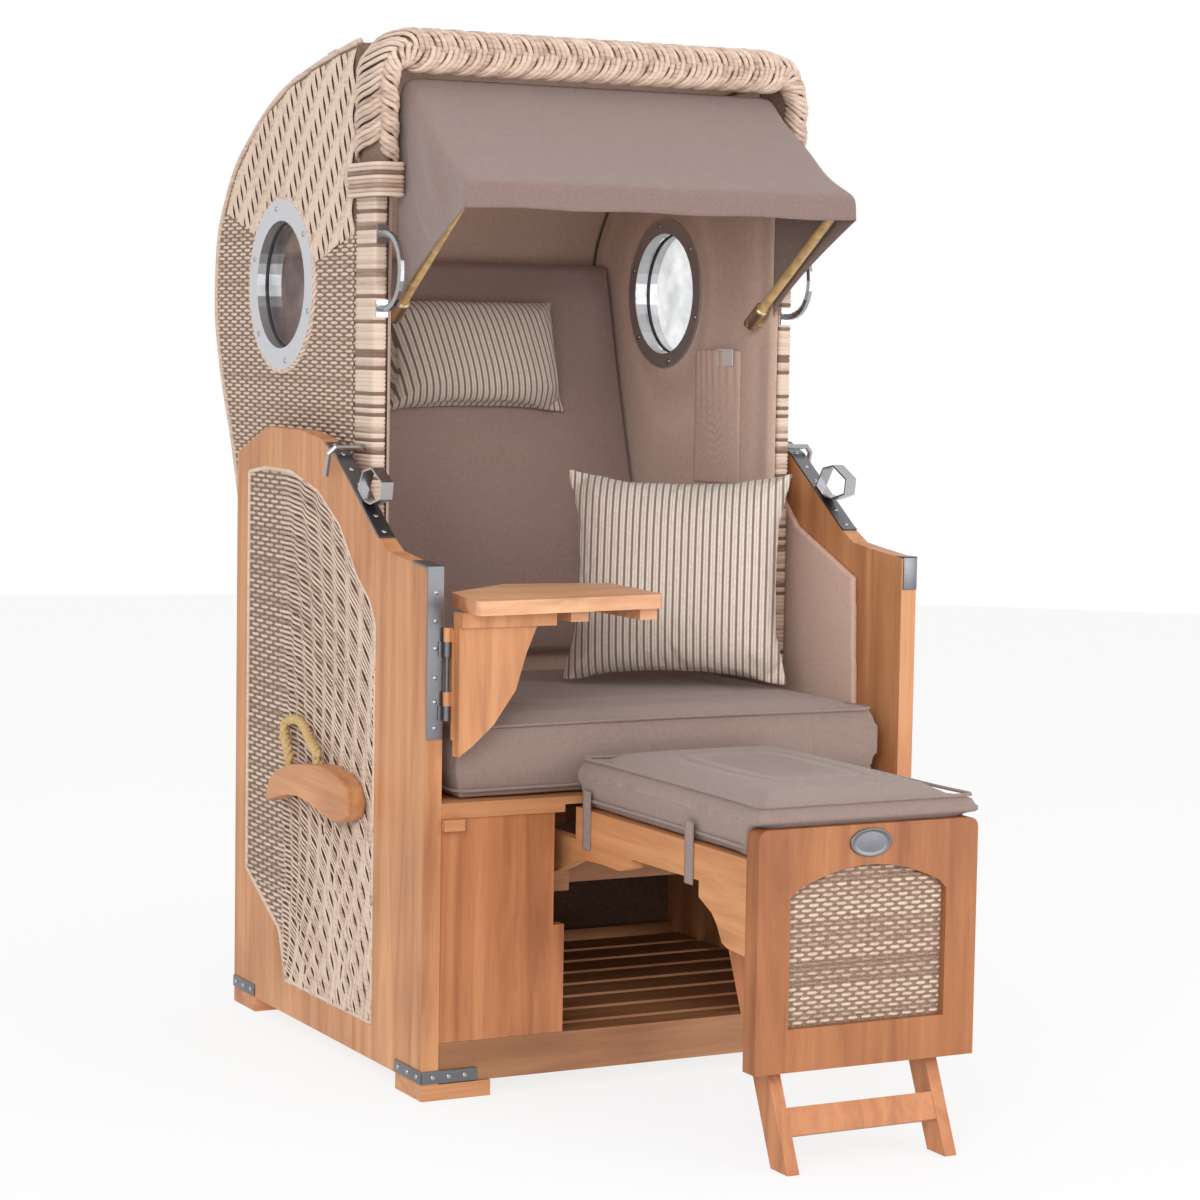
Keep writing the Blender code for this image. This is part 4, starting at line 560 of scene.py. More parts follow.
@dataclass(frozen=True)
class Plain:
    """A finish with a soft mottling, for rope, rubber, pane, turned wood and the painted shade behind the
    weave.
    """

    colour: Colour
    roughness: float
    grain: float

    def build(self, name: str, **fixed: float) -> bpy.types.Material:
        """Make the material."""
        shader = Shader(name)
        mottle = shader.noise((self.grain, self.grain, self.grain), 3.0)
        dark = tuple(c * 0.72 for c in self.colour)
        light = tuple(min(1.0, c * 1.15) for c in self.colour)
        base = shader.ramp(mottle, [(0.35, dark), (0.65, light)])
        return shader.finish(base, self.roughness, mottle, 0.0003, **fixed)


@dataclass
class Finishes:
    """Every material of the chair, made once."""

    made: dict[str, bpy.types.Material] = field(default_factory=dict)

    def build(self) -> "Finishes":
        """Make all the materials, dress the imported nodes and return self."""
        turn = math.radians(-32.5)
        ecru, stripe = (0.80, 0.69, 0.60), (0.25, 0.17, 0.14)
        plan: dict[str, Callable[[str], bpy.types.Material]] = {
            "teak_upright": Teak(Axis.Z).build,
            "teak_level": Teak(Axis.X).build,
            "teak_deep": Teak(Axis.Y).build,
            # A darker copy of the level teak: painted shade on the parts under the seat and footrest.
            "teak_floor": Teak(Axis.X, shade=0.62).build,
            # A darker teak: painted shade from the footrest on the front panels and prop leg.
            "teak_front": Teak(
                Axis.Z, (0.26, 0.082, 0.026), (0.42, 0.150, 0.054), (0.56, 0.230, 0.092)
            ).build,
            # A darker teak: painted shade that offsets the strong key light on the footrest's front.
            "teak_footrest": Teak(
                Axis.Z, (0.19, 0.056, 0.015), (0.30, 0.100, 0.030), (0.41, 0.155, 0.052)
            ).build,
            "teak_tray": Teak(
                Axis.X, (0.44, 0.190, 0.088), (0.66, 0.335, 0.175), (0.80, 0.460, 0.260)
            ).build,
            "strand": Strand().build,
            "strand_striped": Strand(streaks=0.15, brown=(0.20, 0.11, 0.075)).build,
            # Dark brown behind the strands: painted shade seen through the weave's gaps.
            "strand_back": Plain((0.24, 0.155, 0.110), 0.8, 220.0).build,
            "cushion_cloth": Cloth((0.300, 0.210, 0.180)).build,
            "back_cloth": Cloth((0.385, 0.265, 0.232)).build,
            "lining_cloth": Cloth((0.76, 0.535, 0.430)).build,
            "side_cloth": Cloth((0.80, 0.545, 0.430)).build,
            "sun_cloth": Cloth((0.262, 0.172, 0.150)).build,
            "pillow_cloth": Cloth(
                ecru, stripe=stripe, stripe_along=(math.cos(turn), math.sin(turn), 0.0)
            ).build,
            "neck_cloth": Cloth(ecru, stripe=stripe, stripe_along=(0.98, 0.0, 0.19)).build,
            "steel": Metal((0.40, 0.40, 0.41), 0.20).build,
            "dark_steel": Metal((0.17, 0.172, 0.185), 0.30).build,
            "ring_steel": Metal((0.60, 0.60, 0.62), 0.36).build,
            "turned_wood": Plain((0.60, 0.40, 0.175), 0.4, 60.0).build,
            "pillow_plain": Cloth((0.80, 0.76, 0.72)).build,
            "brass": Metal((0.62, 0.50, 0.33), 0.28).build,
            "rope": Plain((0.62, 0.42, 0.19), 0.85, 420.0).build,
            "rubber": Plain((0.025, 0.025, 0.028), 0.6, 200.0).build,
        }
        self.made = {name: build(name) for name, build in plan.items()}
        glass = Plain((0.93, 0.95, 0.96), 0.04, 20.0)
        self.made["pane"] = glass.build("pane", Transmission_Weight=1.0, IOR=1.1)
        for name, nodes in NODE_FINISHES.items():
            for node in sorted({node.replace("*", side) for node in nodes for side, _ in SIDES}):
                self.dress_node(node, name)
        return self

    def dress(self, piece: bpy.types.Object, name: str) -> None:
        """Give a piece one material."""
        piece.data.materials.clear()
        piece.data.materials.append(self.made[name])

    def dress_node(self, node: str, name: str) -> None:
        """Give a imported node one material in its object's slots."""
        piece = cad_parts[node]
        if not piece.data.materials:
            piece.data.materials.append(None)
        for slot in piece.material_slots:
            slot.link = "OBJECT"
            slot.material = self.made[name]

    def keep(self, piece: bpy.types.Object, name: str, body: str, slot: str) -> bpy.types.Object:
        """Dress a piece, let it ride on a body and log its faces."""
        self.dress(piece, name)
        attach(piece, body)
        LOG.info("%s: %d faces on %s", piece.name, len(piece.data.polygons), body)
        return piece


@dataclass
class Studio:
    """Camera at the photograph's place, soft lamps and a pale floor."""

    eye: tuple[float, float, float] = (-2.3888, -4.3140, 1.1767)
    yaw: float = math.radians(27.4811)
    pitch: float = math.radians(4.8167)
    roll: float = math.radians(0.9402)
    focal_pixels: float = 3132.29
    frame_pixels: float = 1200.0
    sensor_mm: float = 36.0
    world_light: float = 0.78
    floor_glow: float = 0.82
    lamps: tuple = (
        ("key", (-2.9, -4.0, 2.2), 2.2, 104.0),
        ("fill", (2.2, -4.0, 1.3), 2.2, 62.0),
        ("top", (0.3, 0.4, 4.2), 2.8, 24.0),
    )

    def build(self) -> None:
        """Make the camera, world, lamps and floor."""
        self.camera()
        self.world()
        for name, place, size, power in self.lamps:
            self.lamp(name, place, size, power)
        self.floor()

    def camera(self) -> None:
        """Place the camera by its yaw, pitch and roll."""
        ahead = math.cos(self.pitch)
        look = Vector((math.sin(self.yaw) * ahead, math.cos(self.yaw) * ahead, -math.sin(self.pitch)))
        level = Vector((math.cos(self.yaw), -math.sin(self.yaw), 0))
        rise = level.cross(look)
        right = level * math.cos(self.roll) + rise * math.sin(self.roll)
        up = rise * math.cos(self.roll) - level * math.sin(self.roll)
        data = bpy.data.cameras.new("camera")
        data.sensor_width = self.sensor_mm
        data.lens = self.focal_pixels * self.sensor_mm / self.frame_pixels
        made = placed("camera", data)
        turn = Matrix((right, up, -look)).transposed().to_4x4()
        made.matrix_world = Matrix.Translation((self.eye[0], self.eye[1] + FRONT, self.eye[2])) @ turn
        bpy.context.scene.camera = made

    def white_for_camera(self, tree: bpy.types.NodeTree) -> bpy.types.NodeSocket:
        """A share that is one for camera, glossy and transmission rays."""
        path = tree.nodes.new("ShaderNodeLightPath")
        total = path.outputs["Is Camera Ray"]
        for name in ("Is Glossy Ray", "Is Transmission Ray"):
            most = tree.nodes.new("ShaderNodeMath")
            most.operation = "MAXIMUM"
            tree.links.new(total, most.inputs[0])
            tree.links.new(path.outputs[name], most.inputs[1])
            total = most.outputs[0]
        return total

    def world(self) -> None:
        """Plain light from all round, seen as white."""
        world = bpy.data.worlds.new("studio")
        bpy.context.scene.world = world
        world.use_nodes = True
        tree = world.node_tree
        seen = tree.nodes.new("ShaderNodeBackground")
        lit = tree.nodes["Background"]
        lit.inputs[0].default_value = (1.0, 1.0, 1.0, 1)
        lit.inputs[1].default_value = self.world_light
        seen.inputs[0].default_value = (1, 1, 1, 1)
        seen.inputs[1].default_value = 1.0
        mix = tree.nodes.new("ShaderNodeMixShader")
        tree.links.new(self.white_for_camera(tree), mix.inputs[0])
        tree.links.new(lit.outputs[0], mix.inputs[1])
        tree.links.new(seen.outputs[0], mix.inputs[2])
        tree.links.new(mix.outputs[0], tree.nodes["World Output"].inputs[0])
        bpy.context.scene.view_settings.view_transform = "Standard"

    def lamp(self, name: str, place: tuple[float, float, float], size: float, power: float) -> None:
        """A square lamp that points at the chair's middle."""
        data = bpy.data.lights.new(name, "AREA")
        data.size = size
        data.energy = power
        made = placed(name, data)
        made.location = place
        made.rotation_euler = (Vector((0, 0, 0.8)) - Vector(place)).to_track_quat("-Z", "Y").to_euler()

    def floor(self) -> None:
        """A round pale floor that keeps the chair's shadow."""
        angle = np.linspace(0, math.tau, 64, endpoint=False)
        radius = np.array([0.0, 1.0, 3.0, 9.0])[:, None]
        points = np.stack([radius * np.cos(angle), radius * np.sin(angle), 0 * radius * angle], axis=-1)
        made = outward(new_object("floor", points, grid_faces(4, 64, around=True)))
        made.location.z = -0.0008
        shader = Shader("floor")
        shader.finish((0.86, 0.86, 0.86), 0.9, None, 0.0)
        glow = shader.node("ShaderNodeEmission", {}, {"Color": (1, 1, 1, 1), "Strength": 1.0})
        sources = {0: self.floor_glow, 1: shader.principled.outputs[0], 2: glow.outputs[0]}
        mix = shader.node("ShaderNodeMixShader", {}, sources)
        shader.tree.links.new(mix.outputs[0], shader.tree.nodes["Material Output"].inputs[0])
        made.data.materials.append(shader.material)


@dataclass
class Weave:
    """Strands over stakes: a wave that swaps sides from row to row, wide in one zone and fine elsewhere."""

    row: float = 0.0066
    stake: float = 0.021
    lift: float = 0.0017
    wide_stake: float = 0.043
    wide_lift: float = 0.0044
    wide_rows: int = 5
    group_shift: float = 0.45
    half_width: float = 0.0030
    half_thick: float = 0.0015
    sunk: float = 0.0055
    tone_low: float = 0.25
    tone_high: float = 0.80
    seed: int = 7

    def wave(self, along: np.ndarray, rows: np.ndarray, wide: np.ndarray) -> np.ndarray:
        """Height of a strand: a sine along the row whose sign swaps with the row, or with a group of rows.

        Args:
            along: distance along the row.
            rows: number of each row.
            wide: share of the wide weave at each place.

        Returns:
            The height out of the surface.
        """
        fine = self.lift * np.sin(math.pi * (along / self.stake + rows))
        group = np.floor(rows / self.wide_rows)
        broad = self.wide_lift * np.sin(math.pi * (along / self.wide_stake + group * self.group_shift))
        return fine * (1 - wide) + (broad + self.wide_lift * 0.92) * wide

    def tones(self, count: int) -> np.ndarray:
        """A random shade for each row."""
        return np.random.default_rng(self.seed).uniform(self.tone_low, self.tone_high, count)

    def rows_between(
        self, name: str, low: float, high: float, start: Field | float, end: Field | float, place: Field,
        out: Field, zone: Field | float, samples: int, shown: Field | None = None,
    ) -> bpy.types.Object:
        """Fill a panel with rows.

        Args:
            name: the piece's name.
            low: level of the first row.
            high: level of the last row.
            start: where each row starts, as one number or by its level.
            end: where each row ends, as one number or by its level.
            place: the surface's point for a place along the row and a level.
            out: the surface's outward direction there.
            zone: share of the wide weave, as one number or there.
            samples: points along each row.
            shown: one where the row is on the surface, and zero where it dives under it.

        Returns:
            The piece.
        """

        def at(value: Field | float, *places: np.ndarray) -> np.ndarray:
            """A function's values at the places, or one number for all of them."""
            return value(*places) if callable(value) else np.full_like(places[0], value)

        levels = np.arange(low + self.row / 2, high, self.row)
        first, last = at(start, levels), at(end, levels)
        keep = last - first > self.stake
        levels, first, last = levels[keep], first[keep], last[keep]
        rows = np.round(levels / self.row)[:, None]
        along = first[:, None] + (last - first)[:, None] * np.linspace(0, 1, samples)
        level = np.broadcast_to(levels[:, None], along.shape)
        away = out(along, level)
        height = self.wave(along, rows, at(zone, along, level))
        if shown is not None:
            height = np.where(shown(along, level), height, -self.sunk)
        paths = place(along, level) + away * height[..., None]
        return tubes(name, paths, self.half_width, self.half_thick, away, 4, self.tones(len(levels)))


@dataclass
class Walls:
    """Woven panels in the side walls and the back, and the walls' fittings."""

    finishes: Finishes
    depth: float = 0.804
    height: float = 1.014
    arm: float = 0.8215
    foot: float = 0.025
    half: float = 0.440
    turn: tuple[float, float] = (0.585, 0.05)
    turn_stakes: float = 12.0
    stake: float = 0.021
    squeeze: float = 1.55
    cover: float = 0.022
    rings: tuple = ((0.0, 0.18, 8), (0.18, 0.42, 15), (0.42, 0.99, 26))
    top_shares: tuple = (
        (0.0, 0.0), (0.128, 0.055), (0.187, 0.085), (0.2425, 0.200), (0.454, 0.808),
        (0.536, 0.945), (0.644, 1.0), (0.830, 1.0), (1.0, 0.750),
    )
    opening_shares: tuple = (
        (0.940, 0.228), (0.939, 0.952), (0.840, 0.935), (0.698, 0.931), (0.545, 0.912),
        (0.427, 0.899), (0.338, 0.864), (0.271, 0.859), (0.241, 0.832), (0.245, 0.066),
        (0.703, 0.056), (0.715, 0.082), (0.745, 0.139), (0.838, 0.178),
    )

    def build(self) -> None:
        """Weave the walls' panels and the back, and add the fittings."""
        for side, way in SIDES:
            self.weave(side, way)
            self.fittings(side, way)
        self.back()

    def top_at(self, y: np.ndarray) -> np.ndarray:
        """Height of the wall's top edge at a depth."""
        line = np.array(self.top_shares)
        return np.interp(y, line[:, 0] * self.depth, self.arm + line[:, 1] * (self.height - self.arm))

    def opening(self) -> np.ndarray:
        """The woven opening's outline as depth and height."""
        shares = np.array(self.opening_shares)
        y = shares[:, 0] * self.depth
        return np.stack([y, self.foot + shares[:, 1] * (self.top_at(y) - self.foot)], axis=1)

    def span(self, levels: np.ndarray) -> tuple[np.ndarray, np.ndarray]:
        """Front and rear end of the opening at each level."""
        line = self.opening()
        ahead = np.roll(line, -1, axis=0)
        low = np.minimum(line[:, 1], ahead[:, 1])
        high = np.maximum(line[:, 1], ahead[:, 1])
        hit = (levels[:, None] >= low) & (levels[:, None] < high)
        rise = ahead[:, 1] - line[:, 1]
        slope = (ahead[:, 0] - line[:, 0]) / np.where(rise == 0, 1.0, rise)
        cross = line[:, 0] + slope * (levels[:, None] - line[:, 1])
        first = np.where(hit, cross, np.inf).min(axis=1)
        last = np.where(hit, cross, -np.inf).max(axis=1)
        return np.where(np.isfinite(first), first, 0.0), np.where(np.isfinite(last), last, 0.0)

    def weave(self, side: str, way: int) -> None:
        """Strands that run level at the rear and turn down in ovals round a point at the panel's foot.

        A strand's place is counted in stakes. Behind the turning point it is a level line; ahead of it
        the strand follows a quarter oval, whose width is its height divided by the squeeze.
        """
        face = self.half - 0.003
        line = self.opening()
        turn_y, turn_z = self.turn
        rear_stakes = (line[:, 0].max() - turn_y) / self.stake

        def surface(c: np.ndarray, r: np.ndarray) -> tuple[np.ndarray, np.ndarray]:
            """Depth and height for a place in stakes and an oval's height."""
            angle = np.clip(c / self.turn_stakes, 0, 1) * math.pi / 2
            y = turn_y + np.maximum(-c, 0) * self.stake - r / self.squeeze * np.sin(angle)
            y = np.maximum(y, self.cover)
            return y, np.minimum(turn_z + r * np.cos(angle), self.top_at(y) - self.cover)

        def place(c: np.ndarray, r: np.ndarray) -> np.ndarray:
            """Point of the wall's face."""
            return from_front(way * face, *surface(c, r))

        def shown(c: np.ndarray, r: np.ndarray) -> np.ndarray:
            """Inside the opening."""
            y, z = surface(c, r)
            first, last = self.span(z.ravel())
            return (y > first.reshape(z.shape) + 0.002) & (y < last.reshape(z.shape) - 0.002)

        for number, (low, high, stakes) in enumerate(self.rings):
            weave = Weave(
                row=0.0083, stake=1.0, wide_stake=self.turn_stakes / stakes, wide_rows=4, wide_lift=0.0027,
                tone_low=0.36 - 0.06 * number, tone_high=0.92 - 0.08 * number, seed=11 + number,
            )
            piece = weave.rows_between(
                f"wall_strands_{side}_{number}", low, high,
                -rear_stakes, self.turn_stakes,
                place, lambda c, r: toward((way, 0, 0), c),
                lambda c, r: np.clip(c / 2 + 0.5, 0, 1), 170, shown,
            )
            self.finishes.keep(piece, "strand", "chair", "wicker")
        ring = np.vstack([line, line[:1]])
        run = distances(ring)
        even = np.linspace(0, run[-1], 260)
        y, z = np.interp(even, run, ring[:, 0]), np.interp(even, run, ring[:, 1])
        inner = (line.mean(axis=0) - np.stack([y, z], axis=1)) * np.array([0.014, 0.006])
        cane = np.stack(
            [np.full_like(y, way * (face + 0.001)), y + FRONT + inner[:, 0], z + inner[:, 1]], axis=1
        )
        border = tubes(
            f"wall_border_{side}", cane[None], 0.0038, 0.0032, np.array([float(way), 0, 0]), 8,
            np.array([0.62]),
        )
        self.finishes.keep(border, "strand", "chair", "wicker")

    def back(self) -> None:
        """Rows of strand over the back panel's outside."""
        low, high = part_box("back_panel")
        piece = Weave(seed=5).rows_between(
            "back_strands", low.z + 0.004, high.z - 0.004,
            low.x + 0.004, high.x - 0.004,
            lambda x, z: np.stack([x, np.full_like(x, high.y), z], axis=-1),
            lambda x, z: toward((0, 1, 0), x),
            0.0, 170,
        )
        self.finishes.keep(piece, "strand", "chair", "wicker")

    def fittings(self, side: str, way: int) -> None:
        """Corner straps at the feet, a cap strap on the right arm, a cleat on the left and all the screws."""
        thick = 0.0025
        out = way * self.half
        rear = FRONT + self.depth
        corners = [
            ((out, FRONT, 0.027), (out + way * thick, FRONT + 0.10, 0.047)),
            ((out, rear - 0.10, 0.027), (out + way * thick, rear, 0.047)),
            ((out, FRONT - thick, 0.027), (way * (self.half - 0.093), FRONT, 0.047)),
        ]
        if side == "right":
            corners += [
                ((out, FRONT - thick, 0.770), (out - 0.026, FRONT, 0.8245)),
                ((out, FRONT - thick, 0.8218), (out - 0.026, FRONT + 0.03, 0.8245)),
            ]
        straps = [rounded_block("strap", start, end, 0.001) for start, end in corners]
        piece = joined(f"corner_straps_{side}", straps)
        self.finishes.keep(piece, "dark_steel", "chair", "steel")
        side_screws = [(out + way * thick, FRONT + y, 0.037) for y in (0.015, 0.05, 0.085, 0.72, 0.755, 0.79)]
        heads = screw_heads(f"corner_screws_{side}", np.array(side_screws), (way, 0, 0), 0.0042)
        self.finishes.keep(heads, "steel", "chair", "steel")
        if side == "left":
            z = np.array([0.578, 0.618, 0.655, 0.700, 0.742, 0.785])
            leaf = from_front(-0.427, -0.0032, z)
            heads = screw_heads("tray_hinge_screws", leaf, (0, -1, 0), 0.0040)
            self.finishes.keep(heads, "steel", "chair", "steel")
            ahead = [(x, FRONT - thick, 0.037) for x in (-0.422, -0.395, -0.368)]
            heads = screw_heads("corner_screws_front", np.array(ahead), (0, -1, 0), 0.0042)
            self.finishes.keep(heads, "steel", "chair", "steel")
            cleat = rounded_block(
                "rail_cleat", (-0.412, FRONT - 0.014, 0.419), (-0.377, FRONT + 0.001, 0.437), 0.002
            )
            self.finishes.keep(cleat, "teak_level", "chair", "teak")
        y = np.linspace(0.198, 0.398, 7)
        rack = from_front(way * (self.half - 0.014), y, self.top_at(y) + 0.0036)
        heads = screw_heads(f"rack_screws_{side}", rack, (0, -0.5, 0.85), 0.0042)
        self.finishes.keep(heads, "steel", "chair", "steel")


@dataclass
class Hood:
    """Woven shell, wound posts, braid, portholes and the cloth lining."""

    finishes: Finishes
    half: float = 0.391
    inner: float = 0.3557
    front: float = 0.331
    post_back: float = 0.411
    rear: float = 1.042
    roof: float = 1.643
    low: float = 0.575
    port: tuple[float, float] = (0.7207, 1.2554)
    port_hole: float = 0.1459
    lining_low: float = 0.604
    profile_shares: tuple = (
        (0.113, 1.0), (0.150, 0.997), (0.340, 0.978), (0.529, 0.950), (0.664, 0.915), (0.771, 0.875),
        (0.862, 0.834), (0.934, 0.778), (0.983, 0.721), (1.0, 0.645), (0.997, 0.578), (0.968, 0.509),
        (0.927, 0.443), (0.882, 0.380), (0.758, 0.164), (0.653, 0.0),
    )

    def build(self) -> None:
        """Weave, trim and line the hood."""
        self.shell()
        for side, way in SIDES:
            self.side(side, way)
            self.post(side)
            self.rim(side, way)
            self.port_trim(side, way)
            self.lining_side(side, way)
        self.braid()
        self.lining_roof()
        self.pocket()

    def line(self, count: int, inward: float = 0.0) -> tuple[np.ndarray, np.ndarray]:
        """The hood's outer line from roof to low end, drawn in by a distance.

        Args:
            count: points along the line.
            inward: how far it is drawn in.

        Returns:
            Depths and heights, and the outward directions.
        """
        shares = np.array(self.profile_shares)
        y = self.front + shares[:, 0] * (self.rear - self.front)
        z = self.low + shares[:, 1] * (self.roof - self.low)
        points = np.stack([y, z], axis=1)
        points[0] = (self.post_back, self.roof)
        line = smooth_path(points, count)
        along = unit(np.gradient(line, axis=0))
        out = np.stack([-along[:, 1], along[:, 0]], axis=1)
        return line - out * inward, out

    def rear_at(self, z: np.ndarray) -> np.ndarray:
        """Depth of the outer line's rear part at a height."""
        line, _ = self.line(300)
        return np.interp(z, line[::-1, 1], line[::-1, 0])

    def border(self, y: np.ndarray) -> np.ndarray:
        """Height where the level rows end and the upright strands start."""
        return np.interp(y, (self.post_back, 0.575, 0.800, self.rear), (1.334, 1.290, 1.330, 1.400))

    def side(self, side: str, way: int) -> None:
        """Rows over the hood's side, in a front and a rear part that leave the porthole free."""
        centre_y, centre_z = self.port

        def chord(z: np.ndarray) -> np.ndarray:
            """Half the porthole's width at a height."""
            return np.sqrt(np.maximum(self.port_hole**2 - (z - centre_z) ** 2, 0.0))

        def chord_up(y: np.ndarray) -> np.ndarray:
            """Half the porthole's height at a depth."""
            return np.sqrt(np.maximum(self.port_hole**2 - (y - centre_y) ** 2, 0.0))

        def low_edge(z: np.ndarray) -> np.ndarray:
            """Rear limit of the side at a height."""
            return np.minimum(self.rear_at(z), self.rear) - 0.004

        def place(y: np.ndarray, z: np.ndarray) -> np.ndarray:
            """Point of the side's face."""
            return from_front(way * (self.half - 0.0004), y, z)

        def out(y: np.ndarray, z: np.ndarray) -> np.ndarray:
            """Outward direction."""
            return toward((way, 0, 0), y)

        weave = Weave(tone_low=0.36, tone_high=0.95, seed=23)
        parts = (
            ("front", self.post_back - 0.002, lambda z: centre_y - chord(z)),
            ("rear", lambda z: centre_y + chord(z), low_edge),
        )
        for name, start, end in parts:
            piece = weave.rows_between(
                f"hood_strands_{name}_{side}", 0.66, 1.42, start, end, place, out,
                0.0, 76, lambda y, z: z < self.border(y),
            )
            self.finishes.keep(piece, "strand", "hood", "wicker")
        line, _ = self.line(300, 0.010)
        top = line[: int(np.argmax(line[:, 0])) + 1]

        def roof_at(y: np.ndarray) -> np.ndarray:
            """Height of the side's upper limit at a depth."""
            return np.interp(y, top[:, 0], top[:, 1])

        upright = Weave(
            row=0.0060, wide_stake=0.038, wide_rows=3, wide_lift=0.0030, tone_low=0.50, tone_high=1.0, seed=29
        )
        piece = upright.rows_between(
            f"hood_upright_{side}", self.post_back, float(top[-1, 0]) - 0.004,
            lambda y: np.maximum(self.border(y), centre_z + chord_up(y)), roof_at,
            lambda z, y: place(y, z), lambda z, y: out(y, z), 1.0, 72,
        )
        self.finishes.keep(piece, "strand", "hood", "wicker")

    def shell(self) -> None:
        """Rows across the roof and back, at levels measured along the outer line."""
        line, normal = self.line(600)
        run = distances(line)

        def place(x: np.ndarray, s: np.ndarray) -> np.ndarray:
            """Point of the shell for a width and a distance along the line."""
            return from_front(x, np.interp(s, run, line[:, 0]), np.interp(s, run, line[:, 1]))

        def out(x: np.ndarray, s: np.ndarray) -> np.ndarray:
            """Outward direction there."""
            y, z = np.interp(s, run, normal[:, 0]), np.interp(s, run, normal[:, 1])
            return np.stack([0 * x, y, z], axis=-1)

        def zone(x: np.ndarray, s: np.ndarray) -> np.ndarray:
            """The upper half is woven wide."""
            return np.broadcast_to(np.clip((0.95 - s) / 0.05, 0, 1), x.shape)

        middle = run[-1] / 2
        for name, start, end in (("roof", 0.004, middle), ("back", middle, run[-1] - 0.004)):
            piece = Weave(seed=31).rows_between(
                f"hood_strands_{name}", start, end,
                -self.half + 0.004, self.half - 0.004, place, out, zone, 150,
            )
            self.finishes.keep(piece, "strand", "hood", "wicker")

    def rim(self, side: str, way: int) -> None:
        """Two canes along the hood's outer edge."""
        line, out = self.line(160, 0.001)
        base = from_front(way * (self.half - 0.003), line[:, 0], line[:, 1])
        away = np.stack([np.full(len(line), 0.0), out[:, 0], out[:, 1]], axis=1)
        shift = np.array([way * 1.0, 0, 0])
        paths = np.stack([base + shift * 0.003, base + away * 0.004 - shift * 0.004])
        piece = tubes(f"hood_rim_{side}", paths, 0.0048, 0.0048, away[None], 10, np.array([0.45, 0.62]))
        self.finishes.keep(piece, "strand", "hood", "wicker")

    def post(self, side: str) -> None:
        """A post wound with strand: a rounded box section that draws in between the turns."""
        low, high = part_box(f"hood_post_{side}")
        pitch = 0.0068
        turns = int((high.z - low.z) / pitch)
        rows = turns * 5 + 1
        t = np.linspace(0, turns, rows)
        angle = np.linspace(0, math.tau, 40, endpoint=False)
        corner = 0.008
        half = np.array([(high.x - low.x) / 2, (high.y - low.y) / 2])
        circle = np.stack([np.cos(angle), np.sin(angle)], axis=1)
        flat = np.sign(circle) * np.minimum(np.abs(circle) * 4, 1) * (half - corner) + circle * corner
        groove = 0.0018 * (1 - np.abs(np.sin(math.pi * t)) ** 0.5)
        section = flat[None] - circle[None] * groove[:, None, None]
        centre = np.array([(low.x + high.x) / 2, (low.y + high.y) / 2])
        height = np.broadcast_to((low.z + t * pitch)[:, None, None], (rows, 40, 1))
        points = np.concatenate([section + centre, height], axis=2)
        piece = new_object(f"post_winding_{side}", points, grid_faces(rows, 40, around=True))
        tone = np.random.default_rng(41).uniform(0.1, 0.9, turns + 1)[np.floor(t).astype(int)]
        shade = np.repeat(tone, 40).astype(np.float32)
        piece.data.attributes.new("tone", "FLOAT", "POINT").data.foreach_set("value", shade)
        outward(piece)
        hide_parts(f"hood_post_{side}")
        self.finishes.keep(piece, "strand_striped", "hood", "wicker")

    def round_port(self, x: np.ndarray | float, reach: np.ndarray | float, angle: np.ndarray) -> np.ndarray:
        """Places round the porthole's middle, by width, distance and angle."""
        centre_y, centre_z = self.port
        y = centre_y + FRONT + reach * np.cos(angle)
        return np.stack([x + 0 * angle, y, centre_z + reach * np.sin(angle)], axis=1)

    def port_trim(self, side: str, way: int) -> None:
        """Dark seal inside the porthole, two twisted canes round its hole and screws in its flange."""
        angle = np.linspace(0, math.tau, 73)
        seal = self.round_port(way * (self.half - 0.013), 0.1086, angle)
        inward = np.stack([0 * angle, -np.cos(angle), -np.sin(angle)], axis=1)
        piece = tubes(f"porthole_seal_{side}", seal[None], 0.0035, 0.0024, inward[None], 8)
        self.finishes.keep(piece, "rubber", "hood", "flange")
        around = np.linspace(0, math.tau, 361)
        canes = []
        for phase in (0.0, math.pi):
            twist = around * 34 + phase
            reach = self.port_hole + 0.001 + 0.0026 * np.cos(twist)
            x = way * (self.half + 0.0012 + 0.0022 * np.sin(twist))
            canes.append(self.round_port(x, reach, around))
        facing_out = np.array([float(way), 0, 0])
        rim = tubes(
            f"porthole_cane_{side}", np.stack(canes), 0.0034, 0.0030, facing_out, 6, np.array([0.5, 0.8])
        )
        self.finishes.keep(rim, "strand", "hood", "wicker")
        turn = np.linspace(0, math.tau, 6, endpoint=False) + 0.35
        for name, reach, x, facing in (
            ("out", 0.131, self.half + 0.0055, way), ("in", 0.124, self.inner - 0.0055, -way)
        ):
            places = self.round_port(way * x, reach, turn)
            heads = screw_heads(f"porthole_screws_{name}_{side}", places, (facing, 0, 0), 0.0052)
            self.finishes.keep(heads, "steel", "hood", "steel")

